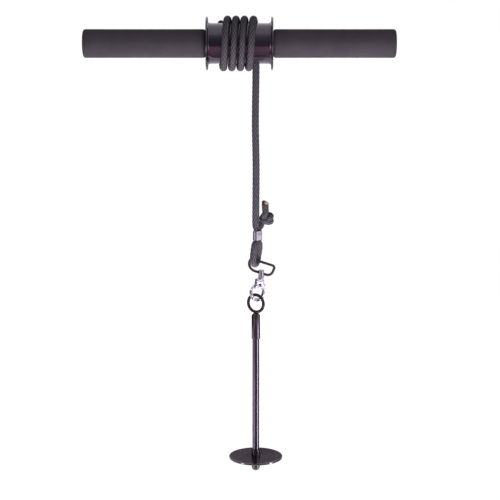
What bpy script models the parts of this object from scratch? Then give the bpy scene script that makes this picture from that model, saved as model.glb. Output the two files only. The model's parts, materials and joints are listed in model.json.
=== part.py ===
"""Wrist trainer: a foam-gripped bar with a flanged drum, a rope wound on it, a swivel snap hook, and a
loading pin whose disc carries weight plates.

Metres, +Z up, +X along the bar. The origin is the middle of the bar, on its axis, where it is held.
The camera side is -Y: the rope climbs the drum's front, goes over its top, and falls from its back.
"""

import math

import bmesh
import bpy
from mathutils import Matrix, Vector

MM = 0.001
SEAT = 0.3 * MM  # gap between pieces that touch

# Bar and grips
BAR_HALF = 170 * MM  # middle of the bar to the end of a grip
TUBE_R = 11 * MM
TUBE_WALL = 1.5 * MM
TUBE_RECESS = 4 * MM  # how far the tube ends inside its grip
GRIP_R = 15.5 * MM
GRIP_EDGE = 2.6 * MM  # rounding of a grip's ends
PLUG_HEAD = 2.4 * MM
PLUG_DEPTH = 12 * MM
PLUG_SLACK = 0.35 * MM

# Drum
DRUM_R = 22 * MM
DRUM_WALL = 2 * MM
FLANGE_R = 29 * MM
FLANGE_T = 2 * MM
FLANGE_FILLET = 2.2 * MM
FLANGE_OUT = 36.5 * MM  # middle of the bar to a flange's outer face
SPIGOT_L = 3 * MM
SPIGOT_WALL = 2.5 * MM

# Rope
ROPE_R = 3.75 * MM
TURN_PITCH = 9.2 * MM
FIRST_TURN_X = -17.6 * MM
TURNS = 3.75  # from the drum's underside to where the rope leaves its back
LEAD_OFF = 1.1 * MM  # sideways step in the last half turn
LEAD_IN_TURNS = 0.42  # how far behind the first turn the rope comes out of the drum
ANCHOR_SHIFT = 1.2 * MM
ROPE_HOLE_R = 4.5 * MM
EMERGE_BEND_R = 4.8 * MM
STOP_R = 5.75 * MM
STOP_H = 3.8 * MM
STOP_CLEAR = 0.85 * MM  # from the stop's upper edge to the inside of the drum
STOP_STICKS_OUT = 0.9 * MM  # rope end below its stop
NECK_R = 2.3 * MM  # the rope squeezed in its clip
ROPE_STEP = 8 * MM  # between the points of the straight fall
FALL_END_Z = -172 * MM  # a full turn of the drum takes up nearly all of the fall

# Rope clip
CLIP_TOP_Z = -210.6 * MM
CLIP_H = 10.4 * MM
CLIP_WALL = 0.8 * MM
STRANDS_AT = Vector((1.9, 0.1)) * MM  # middle of the clip, from the fall
STRANDS_APART = Vector((3.65, 3.55)) * MM

# Tail and knot, from the back strand at the clip's top: right, back, up
TAIL = (
    (3.3 * MM, 3.7 * MM, 7.0 * MM, 0.9),
    (6.5 * MM, 4.7 * MM, 12.1 * MM, 1),
    (7.9 * MM, 4.1 * MM, 19.6 * MM, 1),
    (7.2 * MM, 3.6 * MM, 26.6 * MM, 1),
    (7.2 * MM, 3.4 * MM, 32.6 * MM, 1),
)
KNOT = (9.3 * MM, 4.1 * MM, 13.4 * MM)
KNOT_SIZE = (7.6 * MM, 6.8 * MM, 7.0 * MM)
KNOT_LEAN = math.radians(-25)

# Wire loop of the snap hook
WIRE_R = 1.5 * MM
LOOP_W = 29.4 * MM
LOOP_H = 13.4 * MM
LOOP_TILT = math.radians(18.2)
ROPE_ON_LOOP = 5.6 * MM  # from the loop's top left corner to the rope, along its straight side
EYE_ON_LOOP = 12.3 * MM  # from the loop's right side to the swivel eye
ROPE_LOOP_X = 17.3 * MM
ROPE_LOOP_Z = -243.8 * MM
ROPE_BEND_R = 6.0 * MM
ROPE_BEND_TURN = math.radians(64)  # plan direction of the rope's bend, from +X
ROPE_BEND_DROP = 5.15 * MM  # from the wire down to the middle of the rope under it

# Swivel eye
EYE_R = 3.4 * MM
EYE_ABOVE = 3.8 * MM  # top of the eye above the wire
EYE_BELOW = 5.5 * MM
EYE_FLOOR = 0.8 * MM
EYE_BORE_SLACK = 0.35 * MM
RIVET_R = 1.2 * MM
RIVET_HEAD_R = 2.0 * MM
RIVET_HEAD_T = 0.7 * MM
RIVET_DEPTH = 2.2 * MM

# Snap hook, in its own plane: u to the right of the swivel axis, v down from its top
HOOK_T = 4.6 * MM
HOOK_TURN = math.radians(28)
HOOK_EDGE = 0.8 * MM
BOW_U = -5.0 * MM
BOW_V = 16 * MM
BOW_OUT_U = 9.2 * MM
BOW_OUT_V = 10.6 * MM
BOW_IN_U = 6.8 * MM
BOW_IN_V = 7.2 * MM
PIVOT_U = -2.6 * MM
PIVOT_V = 7.2 * MM
PIVOT_R = 0.85 * MM
PIVOT_HEAD_R = 1.5 * MM
PIVOT_HEAD_T = 0.4 * MM
GATE_T = 2.3 * MM
GATE_REACH = 10.9 * MM  # pivot to the gate's tip
SLOT_ROOF = 3.4 * MM
SLOT_FLOOR = 10.8 * MM
SPRING_R = 0.85 * MM
SPRING_WIRE = 0.22 * MM
SPRING_U = 1.8 * MM
SPRING_L = 2.3 * MM
SPRING_TURNS = 3

# Loading pin
RING_R = 9.9 * MM
RING_WIRE_R = 1.8 * MM
RING_TURN = math.radians(-30)
RING_U = -6.9 * MM  # middle of the ring, on the hook, where its wire just clears the bow
RING_V = 28.7 * MM
ROD_R = 4 * MM
SLEEVE_R = 5 * MM
SLEEVE_L = 28 * MM
SLEEVE_DROP = 1.3 * MM  # rod that shows between the ring and the sleeve
ROD_TO_DISC = 168.8 * MM  # top of the rod to the disc's upper face
COLLAR_L = 7.4 * MM
DISC_R = 31 * MM
DISC_T = 2.2 * MM
DISC_EDGE = 0.6 * MM
DISC_SEAT_R = 5.6 * MM  # shallow seats turned into both faces, for the collar and the cap
DISC_SEAT_DEEP = 0.2 * MM
CAP_R = 4.9 * MM
CAP_L = 15.7 * MM
CAP_HOLE = 9.5 * MM
CAP_WALL_SLACK = 0.25 * MM

# Colours are linear, from the photograph
FINISHES = {
    "foam": ((0.035, 0.030, 0.036), 0.95, 0.0),
    "black_paint": ((0.022, 0.018, 0.024), 0.28, 0.0),
    "black_wire": ((0.030, 0.022, 0.028), 0.35, 0.4),
    "plastic": ((0.020, 0.020, 0.022), 0.55, 0.0),
    "rope": ((0.050, 0.045, 0.056), 0.9, 0.0),
    "bright_metal": ((0.62, 0.60, 0.66), 0.25, 1.0),
}

# Worked out from the sizes above
WIND_R = DRUM_R + ROPE_R + SEAT
STOP_BOTTOM = math.sqrt((DRUM_R - DRUM_WALL) ** 2 - STOP_R**2) - STOP_CLEAR - STOP_H
FALL_X = FIRST_TURN_X + TURN_PITCH * TURNS + LEAD_OFF
FALL = Vector((FALL_X, WIND_R, 0))
LOOP_LEAN = math.asin(-RING_U * math.sin(HOOK_TURN) / LOOP_H)  # the load hangs under the rope
LOOP_TILT_AXES = (
    Vector((math.cos(LOOP_TILT), 0, -math.sin(LOOP_TILT))),
    Vector((-math.sin(LOOP_TILT), 0, -math.cos(LOOP_TILT))) * math.cos(LOOP_LEAN)
    + Vector((0, math.sin(LOOP_LEAN), 0)),
)
ROPE_CROSSING = Vector((ROPE_LOOP_X, WIND_R, ROPE_LOOP_Z))
LOOP_CORNER = ROPE_CROSSING - LOOP_TILT_AXES[0] * ROPE_ON_LOOP
EYE = LOOP_CORNER + LOOP_TILT_AXES[0] * (LOOP_W - EYE_ON_LOOP) + LOOP_TILT_AXES[1] * LOOP_H
HOOK_TOP = EYE - Vector((0, 0, EYE_BELOW + SEAT))
HOOK_U = Vector((math.cos(HOOK_TURN), math.sin(HOOK_TURN), 0))
HOOK_W = Vector((-math.sin(HOOK_TURN), math.cos(HOOK_TURN), 0))


def start():
    """Empties the file and makes the two collections and the materials."""
    for old in list(bpy.data.objects):
        bpy.data.objects.remove(old, do_unlink=True)
    for name in ("wrist_trainer", "cutters"):
        collection = bpy.data.collections.new(name)
        bpy.context.scene.collection.children.link(collection)
    for name, (colour, roughness, metallic) in FINISHES.items():
        material = bpy.data.materials.new(name)
        material.use_nodes = True
        shader = material.node_tree.nodes["Principled BSDF"]
        shader.inputs["Base Color"].default_value = (*colour, 1)
        shader.inputs["Roughness"].default_value = roughness
        shader.inputs["Metallic"].default_value = metallic


def place(name, data, finish, matrix=None, collection="wrist_trainer"):
    """Adds an object to its collection, with its finish."""
    obj = bpy.data.objects.new(name, data)
    bpy.data.collections[collection].objects.link(obj)
    if finish:
        data.materials.append(bpy.data.materials[finish])
    if matrix is not None:
        obj.matrix_world = matrix
    bpy.context.view_layer.update()
    return obj


def axis_matrix(point, direction):
    """A frame at point whose +Z is direction."""
    turn = Vector(direction).to_track_quat("Z", "X").to_matrix().to_4x4()
    return Matrix.Translation(point) @ turn


def hook_matrix(origin=HOOK_TOP):
    """A frame on the hook: x is u, y is up, z points at the camera."""
    turn = Matrix((HOOK_U, Vector((0, 0, 1)), -HOOK_W)).transposed().to_4x4()
    return Matrix.Translation(origin) @ turn


def turned(name, profile, finish, matrix, steps=48, closed=True):
    """A turned solid. profile is (radius, height) down its outer side; closed where it has a bore."""
    mesh = bpy.data.meshes.new(name)
    shape = bmesh.new()
    points = [shape.verts.new((r, 0, z)) for r, z in profile]
    pairs = list(zip(points, points[1:]))
    if closed:
        pairs.append((points[-1], points[0]))
    for pair in pairs:
        shape.edges.new(pair)
    shape.to_mesh(mesh)
    shape.free()
    obj = place(name, mesh, finish, matrix)
    screw = obj.modifiers.new("turn", "SCREW")
    screw.steps = steps
    screw.render_steps = steps
    screw.use_merge_vertices = True
    screw.merge_threshold = 0.00001
    screw.use_smooth_shade = True
    return obj


def arc(centre, radius, start_deg, end_deg, count):
    """Points on an arc, or on an ellipse's where radius is a pair."""
    across, up = radius if isinstance(radius, tuple) else (radius, radius)
    points = []
    for i in range(count + 1):
        angle = math.radians(start_deg + (end_deg - start_deg) * i / count)
        points.append((centre[0] + across * math.cos(angle), centre[1] + up * math.sin(angle)))
    return points


def tube(name, points, radius, finish, radii=None, closed=False, sides=2):
    """A round bar along points: a poly curve with a bevel and filled caps."""
    curve = bpy.data.curves.new(name, "CURVE")
    curve.dimensions = "3D"
    curve.bevel_depth = radius
    curve.bevel_resolution = sides
    curve.use_fill_caps = True
    spline = curve.splines.new("POLY")
    spline.points.add(len(points) - 1)
    for i, (spot, point) in enumerate(zip(spline.points, points)):
        spot.co = (*point, 1)
        if radii:
            spot.radius = radii[i]
    spline.use_cyclic_u = closed
    spline.use_smooth = True
    return place(name, curve, finish)


def as_mesh(obj):
    """A curve object made a mesh with welded caps, so that it can be cut or joined."""
    bpy.context.view_layer.update()
    evaluated = obj.evaluated_get(bpy.context.evaluated_depsgraph_get())
    mesh = bpy.data.meshes.new_from_object(evaluated)
    shape = bmesh.new()
    shape.from_mesh(mesh)
    bmesh.ops.remove_doubles(shape, verts=shape.verts, dist=0.000005)
    bmesh.ops.recalc_face_normals(shape, faces=shape.faces)
    shape.to_mesh(mesh)
    shape.free()
    name, matrix = obj.name, obj.matrix_world.copy()
    collection = obj.users_collection[0].name
    bpy.data.objects.remove(obj, do_unlink=True)
    return place(name, mesh, None, matrix, collection)


def plate(name, outline, thickness, finish, matrix, collection="wrist_trainer"):
    """A flat plate of a 2D outline, made a mesh."""
    curve = bpy.data.curves.new(name, "CURVE")
    curve.dimensions = "2D"
    curve.fill_mode = "BOTH"
    curve.extrude = thickness / 2
    spline = curve.splines.new("POLY")
    spline.points.add(len(outline) - 1)
    for spot, point in zip(spline.points, outline):
        spot.co = (*point, 0, 1)
    spline.use_cyclic_u = True
    return as_mesh(place(name, curve, finish, matrix, collection))


def cylinder_cutter(name, point, direction, radius, length, steps=24):
    """A round cutter centred on point."""
    shape = bmesh.new()
    bmesh.ops.create_cone(
        shape, cap_ends=True, segments=steps, radius1=radius, radius2=radius, depth=length
    )
    mesh = bpy.data.meshes.new(name)
    shape.to_mesh(mesh)
    shape.free()
    return hide(place(name, mesh, None, axis_matrix(point, direction), "cutters"))


def hide(cutter):
    """Marks a cutter, so that it isn't built."""
    cutter.hide_render = True
    cutter.display_type = "WIRE"
    return cutter


def combine(obj, other, operation="DIFFERENCE"):
    """Cuts other from obj, or joins it to obj."""
    modifier = obj.modifiers.new(other.name, "BOOLEAN")
    modifier.operation = operation
    modifier.solver = "EXACT"
    modifier.object = other


def round_edges(obj, width, angle_deg=40, segments=2):
    """Rounds a plate's sharp edges."""
    bevel = obj.modifiers.new("round", "BEVEL")
    bevel.width = width
    bevel.segments = segments
    bevel.limit_method = "ANGLE"
    bevel.angle_limit = math.radians(angle_deg)


def smooth(obj):
    """Shades a mesh smooth, with its sharp edges kept."""
    obj.data.shade_smooth()
    obj.data.set_sharp_from_angle(angle=math.radians(40))


def rounded_loop(corners, count=6):
    """A closed loop of (x, y) through corners given as (x, y, radius)."""
    points = []
    for i, (x, y, radius) in enumerate(corners):
        here = Vector((x, y))
        before = (Vector(corners[i - 1][:2]) - here).normalized()
        after = (Vector(corners[(i + 1) % len(corners)][:2]) - here).normalized()
        half = before.angle(after) / 2
        centre = here + (before + after).normalized() * radius / math.sin(half)
        first = here + before * radius / math.tan(half) - centre
        last = here + after * radius / math.tan(half) - centre
        sweep = first.angle_signed(last)
        for k in range(count + 1):
            angle = -sweep * k / count
            turn = Matrix.Rotation(angle, 2)
            points.append(tuple(centre + turn @ first))
    return points


def smooth_path(knots, spacing):
    """Points on one smooth curve (Catmull-Rom) through knots of (x, y, z, radius share)."""
    path, shares = [], []
    knots = [Vector(k) for k in knots]
    ends = [knots[0] * 2 - knots[1], *knots, knots[-1] * 2 - knots[-2]]
    for a, b, c, d in zip(ends, ends[1:], ends[2:], ends[3:]):
        count = max(1, round((c - b).xyz.length / spacing))
        for i in range(count):
            t = i / count
            point = 0.5 * (
                2 * b
                + (c - a) * t
                + (2 * a - 5 * b + 4 * c - d) * t * t
                + (3 * b - a - 3 * c + d) * t * t * t
            )
            path.append(point.xyz)
            shares.append(point.w)
    path.append(knots[-1].xyz)
    shares.append(knots[-1].w)
    return path, shares


def on_drum(turn, radius, x):
    """A point round the bar. Turn 0 is under it, 0.25 in front, 0.5 on top."""
    angle = 2 * math.pi * turn
    return Vector((x, -radius * math.sin(angle), -radius * math.cos(angle)))


def turn_x(turn):
    """Where along the bar the rope lies at a turn."""
    step = min(1, max(0, (turn - TURNS + 0.5) / 0.5))
    lead = LEAD_OFF * step * step * (3 - 2 * step)
    return FIRST_TURN_X + TURN_PITCH * turn + lead


def make_bar():
    """The steel tube, its end plugs and the foam grips."""
    along = axis_matrix((0, 0, 0), (1, 0, 0))
    half = BAR_HALF - TUBE_RECESS
    inner = TUBE_R - TUBE_WALL
    turned(
        "bar_tube", [(TUBE_R, half), (TUBE_R, -half), (inner, -half), (inner, half)], "black_paint", along
    )
    start_x = FLANGE_OUT + SEAT
    bore = TUBE_R + SEAT
    for side, word in ((-1, "left"), (1, "right")):
        out = axis_matrix((side * start_x, 0, 0), (side, 0, 0))
        length = BAR_HALF - start_x
        small = GRIP_EDGE * 0.4
        outside = arc((GRIP_R - GRIP_EDGE, length - GRIP_EDGE), GRIP_EDGE, 90, 0, 4)
        outside += arc((GRIP_R - small, small), small, 0, -90, 2)
        turned("grip_" + word, outside + [(bore, 0), (bore, length)], "foam", out, steps=40)
        end = axis_matrix((side * (half + SEAT), 0, 0), (side, 0, 0))
        rim = TUBE_R - 0.4 * MM
        stem = inner - PLUG_SLACK
        head = [(0, PLUG_HEAD), (rim * 0.75, PLUG_HEAD * 0.85), (rim, PLUG_HEAD * 0.35), (rim, 0)]
        ribs = [(stem, 0), (stem, -PLUG_DEPTH + MM), (stem - MM, -PLUG_DEPTH), (0, -PLUG_DEPTH)]
        turned("end_plug_" + word, head + ribs, "plastic", end, steps=32, closed=False)


def make_drum():
    """The drum's shell, with the rope's hole, and its two flanges."""
    along = axis_matrix((0, 0, 0), (1, 0, 0))
    half = FLANGE_OUT - FLANGE_T - SEAT
    inner = DRUM_R - DRUM_WALL
    shell = turned(
        "drum_shell", [(DRUM_R, half), (DRUM_R, -half), (inner, -half), (inner, half)], "black_paint",
        along, steps=64,
    )
    turn = -LEAD_IN_TURNS
    x = turn_x(turn) + ANCHOR_SHIFT
    middle = on_drum(turn, DRUM_R, x)
    outward = on_drum(turn, 1, 0)
    combine(shell, cylinder_cutter("rope_hole", middle, outward, ROPE_HOLE_R, 8 * DRUM_WALL))
    bore = TUBE_R + SEAT
    spigot = inner - SEAT
    for side, word in ((-1, "left"), (1, "right")):
        frame = axis_matrix((side * (FLANGE_OUT - FLANGE_T), 0, 0), (side, 0, 0))
        rim = FLANGE_T / 2
        root = DRUM_R + SEAT
        profile = [(bore, FLANGE_T)]
        profile += arc((FLANGE_R - rim, rim), rim, 90, -90, 2)
        profile += arc((root + FLANGE_FILLET, -FLANGE_FILLET), FLANGE_FILLET, 90, 180, 3)
        profile += [(root, 0), (spigot, 0), (spigot, -SPIGOT_L)]
        profile += [(spigot - SPIGOT_WALL, -SPIGOT_L), (spigot - SPIGOT_WALL, 0), (bore, 0)]
        turned("flange_" + word, profile, "black_paint", frame, steps=48)


def make_rope_turns():
    """The rope on the drum, from its stop inside the drum to where it leaves the drum's back."""
    turn = -LEAD_IN_TURNS
    x = turn_x(turn) + ANCHOR_SHIFT
    bend_turns = EMERGE_BEND_R / (2 * math.pi * WIND_R)
    low = STOP_BOTTOM - STOP_STICKS_OUT
    points = [on_drum(turn, low, x), on_drum(turn, (low + WIND_R - EMERGE_BEND_R) / 2, x)]
    for i in range(6):
        angle = math.pi / 2 * i / 5
        radius = WIND_R - EMERGE_BEND_R * (1 - math.sin(angle))
        points.append(on_drum(turn + bend_turns * (1 - math.cos(angle)), radius, x))
    first = turn + bend_turns
    count = 84
    for i in range(1, count + 1):
        here = first + (TURNS - first) * i / count
        settle = min(1, (here - first) / (0 - first))
        across = (1 - settle) * x + settle * turn_x(here)
        points.append(on_drum(here, WIND_R, across))
    points[-1] = FALL + Vector((0, 0, 1.5 * MM))
    points.append(FALL.copy())
    tube("rope_turns", points, ROPE_R, "rope")
    profile = [
        (STOP_R, STOP_H), (STOP_R, 0), (ROPE_R + SEAT, 0), (ROPE_R + SEAT, STOP_H),
    ]
    frame = axis_matrix(on_drum(turn, STOP_BOTTOM, x), on_drum(turn, 1, 0))
    turned("rope_stop", profile, "bright_metal", frame, steps=24)


def make_hanging_rope():
    """The rope below the drum: the straight fall, the loop round the wire, and the knotted tail."""
    x, y = FALL.x, FALL.y
    fall = [
        (x, y, -SEAT, 1), (x, y, -34 * MM, 1), (x - 0.6 * MM, y, -88 * MM, 1),
        (x + 0.2 * MM, y, -134 * MM, 1), (x + 0.1 * MM, y, FALL_END_Z, 1),
    ]
    points, _ = smooth_path(fall, ROPE_STEP)
    tube("rope_fall", points, ROPE_R, "rope")

    bend = Vector((math.cos(ROPE_BEND_TURN), math.sin(ROPE_BEND_TURN), 0))
    clip_bottom = CLIP_TOP_Z - CLIP_H
    front, back = clip_strands()
    neck = NECK_R / ROPE_R
    knots = [
        (x + 0.1 * MM, y, FALL_END_Z - SEAT, 1),
        (x, y, FALL_END_Z - 12 * MM, 1),
        (x, y, CLIP_TOP_Z + 7 * MM, 1),
        (*front, CLIP_TOP_Z + MM, neck),
        (*front, clip_bottom - MM, neck),
        (front[0] - 1.9 * MM, front[1] - 2.2 * MM, clip_bottom - 9 * MM, 0.98),
    ]
    for i in range(9):
        angle = math.pi * i / 8
        spot = ROPE_CROSSING - bend * ROPE_BEND_R * math.cos(angle)
        spot.z -= ROPE_BEND_DROP * math.sin(angle)
        knots.append((*spot, 0.94 - 0.06 * math.sin(angle)))
    knots += [
        (back[0] + 0.1 * MM, back[1] + 2.2 * MM, clip_bottom - 9 * MM, 0.98),
        (*back, clip_bottom - MM, neck),
        (*back, clip_bottom + CLIP_H / 2, neck),
    ]
    points, shares = smooth_path(knots, 5 * MM)
    tube("rope_loop", points, ROPE_R, "rope", radii=shares, sides=3)

    knots = [
        (*back, clip_bottom + CLIP_H / 2 + SEAT, neck),
        (*back, CLIP_TOP_Z + MM, neck),
    ]
    clip_top = Vector((*back, CLIP_TOP_Z))
    knots += [(*(clip_top + Vector(step[:3])), step[3]) for step in TAIL]
    points, shares = smooth_path(knots, ROPE_STEP / 2)
    tail = as_mesh(tube("rope_tail", points, ROPE_R, "rope", radii=shares, sides=3))
    ball = bmesh.new()
    bmesh.ops.create_uvsphere(ball, u_segments=14, v_segments=9, radius=1)
    size = Matrix.Diagonal((*KNOT_SIZE, 1))
    lean = Matrix.Rotation(KNOT_LEAN, 4, "Y")
    ball.transform(Matrix.Translation(clip_top + Vector(KNOT)) @ lean @ size)
    mesh = bpy.data.meshes.new("knot_lump")
    ball.to_mesh(mesh)
    ball.free()
    combine(tail, hide(place("knot_lump", mesh, None, None, "cutters")), "UNION")


def clip_strands():
    """Plan positions of the two strands squeezed in the rope clip."""
    middle = FALL.xy + STRANDS_AT
    return tuple(middle - STRANDS_APART / 2), tuple(middle + STRANDS_APART / 2)


def make_clip():
    """The metal sleeve crimped round the rope's two strands: an open band with Solidify."""
    front, back = (Vector(p) for p in clip_strands())
    along = (back - front).normalized()
    facing = math.degrees(math.atan2(along.y, along.x))
    inner = NECK_R + SEAT
    outline = arc(back, inner, facing - 90, facing + 90, 10)
    outline += arc(front, inner, facing + 90, facing + 270, 10)
    shape = bmesh.new()
    rings = []
    for z in (CLIP_TOP_Z, CLIP_TOP_Z - CLIP_H):
        rings.append([shape.verts.new((px, py, z)) for px, py in outline])
    upper, lower = rings
    for i in range(len(outline)):
        j = (i + 1) % len(outline)
        shape.faces.new((upper[i], lower[i], lower[j], upper[j]))
    bmesh.ops.recalc_face_normals(shape, faces=shape.faces)
    mesh = bpy.data.meshes.new("rope_clip")
    shape.to_mesh(mesh)
    shape.free()
    band = place("rope_clip", mesh, "bright_metal")
    smooth(band)
    wall = band.modifiers.new("wall", "SOLIDIFY")
    wall.thickness = CLIP_WALL
    wall.offset = 1


def make_wire_loop():
    """The snap hook's D-shaped wire loop, tilted as it hangs."""
    corners = [
        (0, 0, 3.2 * MM),
        (LOOP_W, 0, 3.2 * MM),
        (LOOP_W - 0.6 * MM, -LOOP_H, 6.2 * MM),
        (0.6 * MM, -LOOP_H, 9.2 * MM),
    ]
    right, down = LOOP_TILT_AXES
    points = [LOOP_CORNER + right * px - down * py for px, py in rounded_loop(corners, 7)]
    tube("wire_loop", points, WIRE_R, "black_wire", closed=True, sides=3)


def make_eye():
    """The swivel eye, bored for the wire, and the rivet that the hook turns on."""
    frame = axis_matrix(EYE, (0, 0, 1))
    head_room = -EYE_BELOW + EYE_FLOOR
    cavity_top = head_room + RIVET_HEAD_T + 2 * SEAT
    cavity_r = RIVET_HEAD_R + SEAT
    hole = RIVET_R + SEAT
    chamfer = 0.8 * MM
    profile = [
        (0, EYE_ABOVE), (EYE_R - chamfer, EYE_ABOVE), (EYE_R, EYE_ABOVE - chamfer),
        (EYE_R, -EYE_BELOW), (hole, -EYE_BELOW), (hole, head_room), (cavity_r, head_room),
        (cavity_r, cavity_top), (0, cavity_top),
    ]
    eye = turned("swivel_eye", profile, "bright_metal", frame, steps=32, closed=False)
    along = LOOP_TILT_AXES[0]
    for word, direction in (("rest", along), ("rocked", Vector((along.x, 0, -along.z)))):
        bore = cylinder_cutter(
            "eye_bore_" + word, EYE, direction, WIRE_R + EYE_BORE_SLACK, 6 * EYE_R, steps=20
        )
        combine(eye, bore)
    top = head_room + RIVET_HEAD_T + SEAT
    under = head_room + SEAT
    end = -EYE_BELOW - SEAT - RIVET_DEPTH
    rivet = [(0, top), (RIVET_HEAD_R, top), (RIVET_HEAD_R, under), (RIVET_R, under), (RIVET_R, end), (0, end)]
    turned("swivel_rivet", rivet, "bright_metal", frame, steps=24, closed=False)


def hook_outline():
    """The cast hook's outline, anticlockwise, as (u, height): body, back arm, bow and nose."""
    mm = MM
    outline = [(2.6 * mm, -0.9 * mm), (1.9 * mm, 0), (-6.4 * mm, 0), (-7.0 * mm, -0.8 * mm)]
    outline += [(-7.4 * mm, -5.2 * mm), (-9.0 * mm, -9.3 * mm), (-8.9 * mm, -10.6 * mm)]
    outline += [(-8.0 * mm, -11.2 * mm), (-3.6 * mm, -10.8 * mm)]
    outline += arc((BOW_U, -BOW_V), (BOW_IN_U, 5.6 * mm), 56, 0, 6)[:-1]
    outline += arc((BOW_U, -BOW_V), (BOW_IN_U, BOW_IN_V), 0, -180, 22)
    outline += [(-11.9 * mm, -14.2 * mm), (-12.3 * mm, -12.9 * mm), (-13.3 * mm, -12.6 * mm)]
    outline += [(-14.0 * mm, -13.4 * mm)]
    outline += arc((BOW_U, -BOW_V), (BOW_OUT_U, BOW_OUT_V), 180, 360, 26)
    outline += [(3.9 * mm, -12 * mm), (3.1 * mm, -6 * mm)]
    return outline


def gate_outline():
    """The gate's outline, anticlockwise, as (u, height): thumb tab, pivot and tip."""
    mm = MM
    tab = [(6.5 * mm, -9.6 * mm), (6.7 * mm, -8.8 * mm), (6.3 * mm, -8.0 * mm), (4.4 * mm, -7.7 * mm)]
    upper = [(0.4 * mm, -6.0 * mm), (-1.6 * mm, -4.7 * mm), (-4.2 * mm, -4.6 * mm), (-7.6 * mm, -5.6 * mm)]
    tip = [(-9.8 * mm, -8.0 * mm)]
    tip += arc((PIVOT_U, -PIVOT_V), GATE_REACH, 198, 207, 2)
    under = [(-11.4 * mm, -12.4 * mm), (-9.4 * mm, -11.0 * mm), (-3.6 * mm, -10.1 * mm)]
    under += [(-0.6 * mm, -9.7 * mm), (4.2 * mm, -9.9 * mm)]
    return tab + upper + tip + under


def make_hook():
    """The cast hook, its sprung gate and the gate's pin."""
    frame = hook_matrix()
    body = plate("hook_body", hook_outline(), HOOK_T, "bright_metal", frame)
    round_edges(body, HOOK_EDGE)
    gap = GATE_T / 2 + SEAT
    slot = [
        (-11 * MM, -SLOT_ROOF), (-11 * MM, -SLOT_FLOOR - MM), (-1 * MM, -SLOT_FLOOR - MM),
        (0.5 * MM, -SLOT_FLOOR), (8 * MM, -SLOT_FLOOR), (8 * MM, -SLOT_ROOF),
    ]
    combine(body, hide(plate("gate_slot", slot, 2 * gap, None, frame, "cutters")))
    pivot = frame @ Vector((PIVOT_U, -PIVOT_V, 0))
    combine(body, cylinder_cutter("pivot_hole", pivot, HOOK_W, PIVOT_R + SEAT, 3 * HOOK_T, steps=16))
    rivet_hole = HOOK_TOP - Vector((0, 0, RIVET_DEPTH / 2))
    combine(
        body,
        cylinder_cutter("rivet_hole", rivet_hole, (0, 0, 1), RIVET_R + SEAT, RIVET_DEPTH + 2 * SEAT, steps=20),
    )
    smooth(body)

    gate = plate("gate", gate_outline(), GATE_T, "bright_metal", frame)
    round_edges(gate, 0.35 * MM)
    combine(gate, cylinder_cutter("gate_hole", pivot, HOOK_W, PIVOT_R + SEAT, 3 * HOOK_T, steps=16))
    smooth(gate)

    face = HOOK_T / 2 + SEAT
    out = face + PIVOT_HEAD_T
    profile = [
        (0, out), (PIVOT_HEAD_R * 0.7, out), (PIVOT_HEAD_R, face), (PIVOT_R, face), (PIVOT_R, -face),
        (PIVOT_HEAD_R, -face), (PIVOT_HEAD_R * 0.7, -out), (0, -out),
    ]
    turned("gate_pin", profile, "black_wire", axis_matrix(pivot, -HOOK_W), steps=16, closed=False)

    top = -SLOT_ROOF - SEAT - SPRING_WIRE
    coil = []
    steps = 10 * SPRING_TURNS
    for i in range(steps + 1):
        angle = 2 * math.pi * i / 10
        height = top - (SPRING_L - 2 * SPRING_WIRE) * i / steps
        spot = Vector((SPRING_U + SPRING_R * math.cos(angle), height, SPRING_R * math.sin(angle)))
        coil.append(frame @ spot)
    tube("gate_spring", coil, SPRING_WIRE, "bright_metal")


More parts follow.
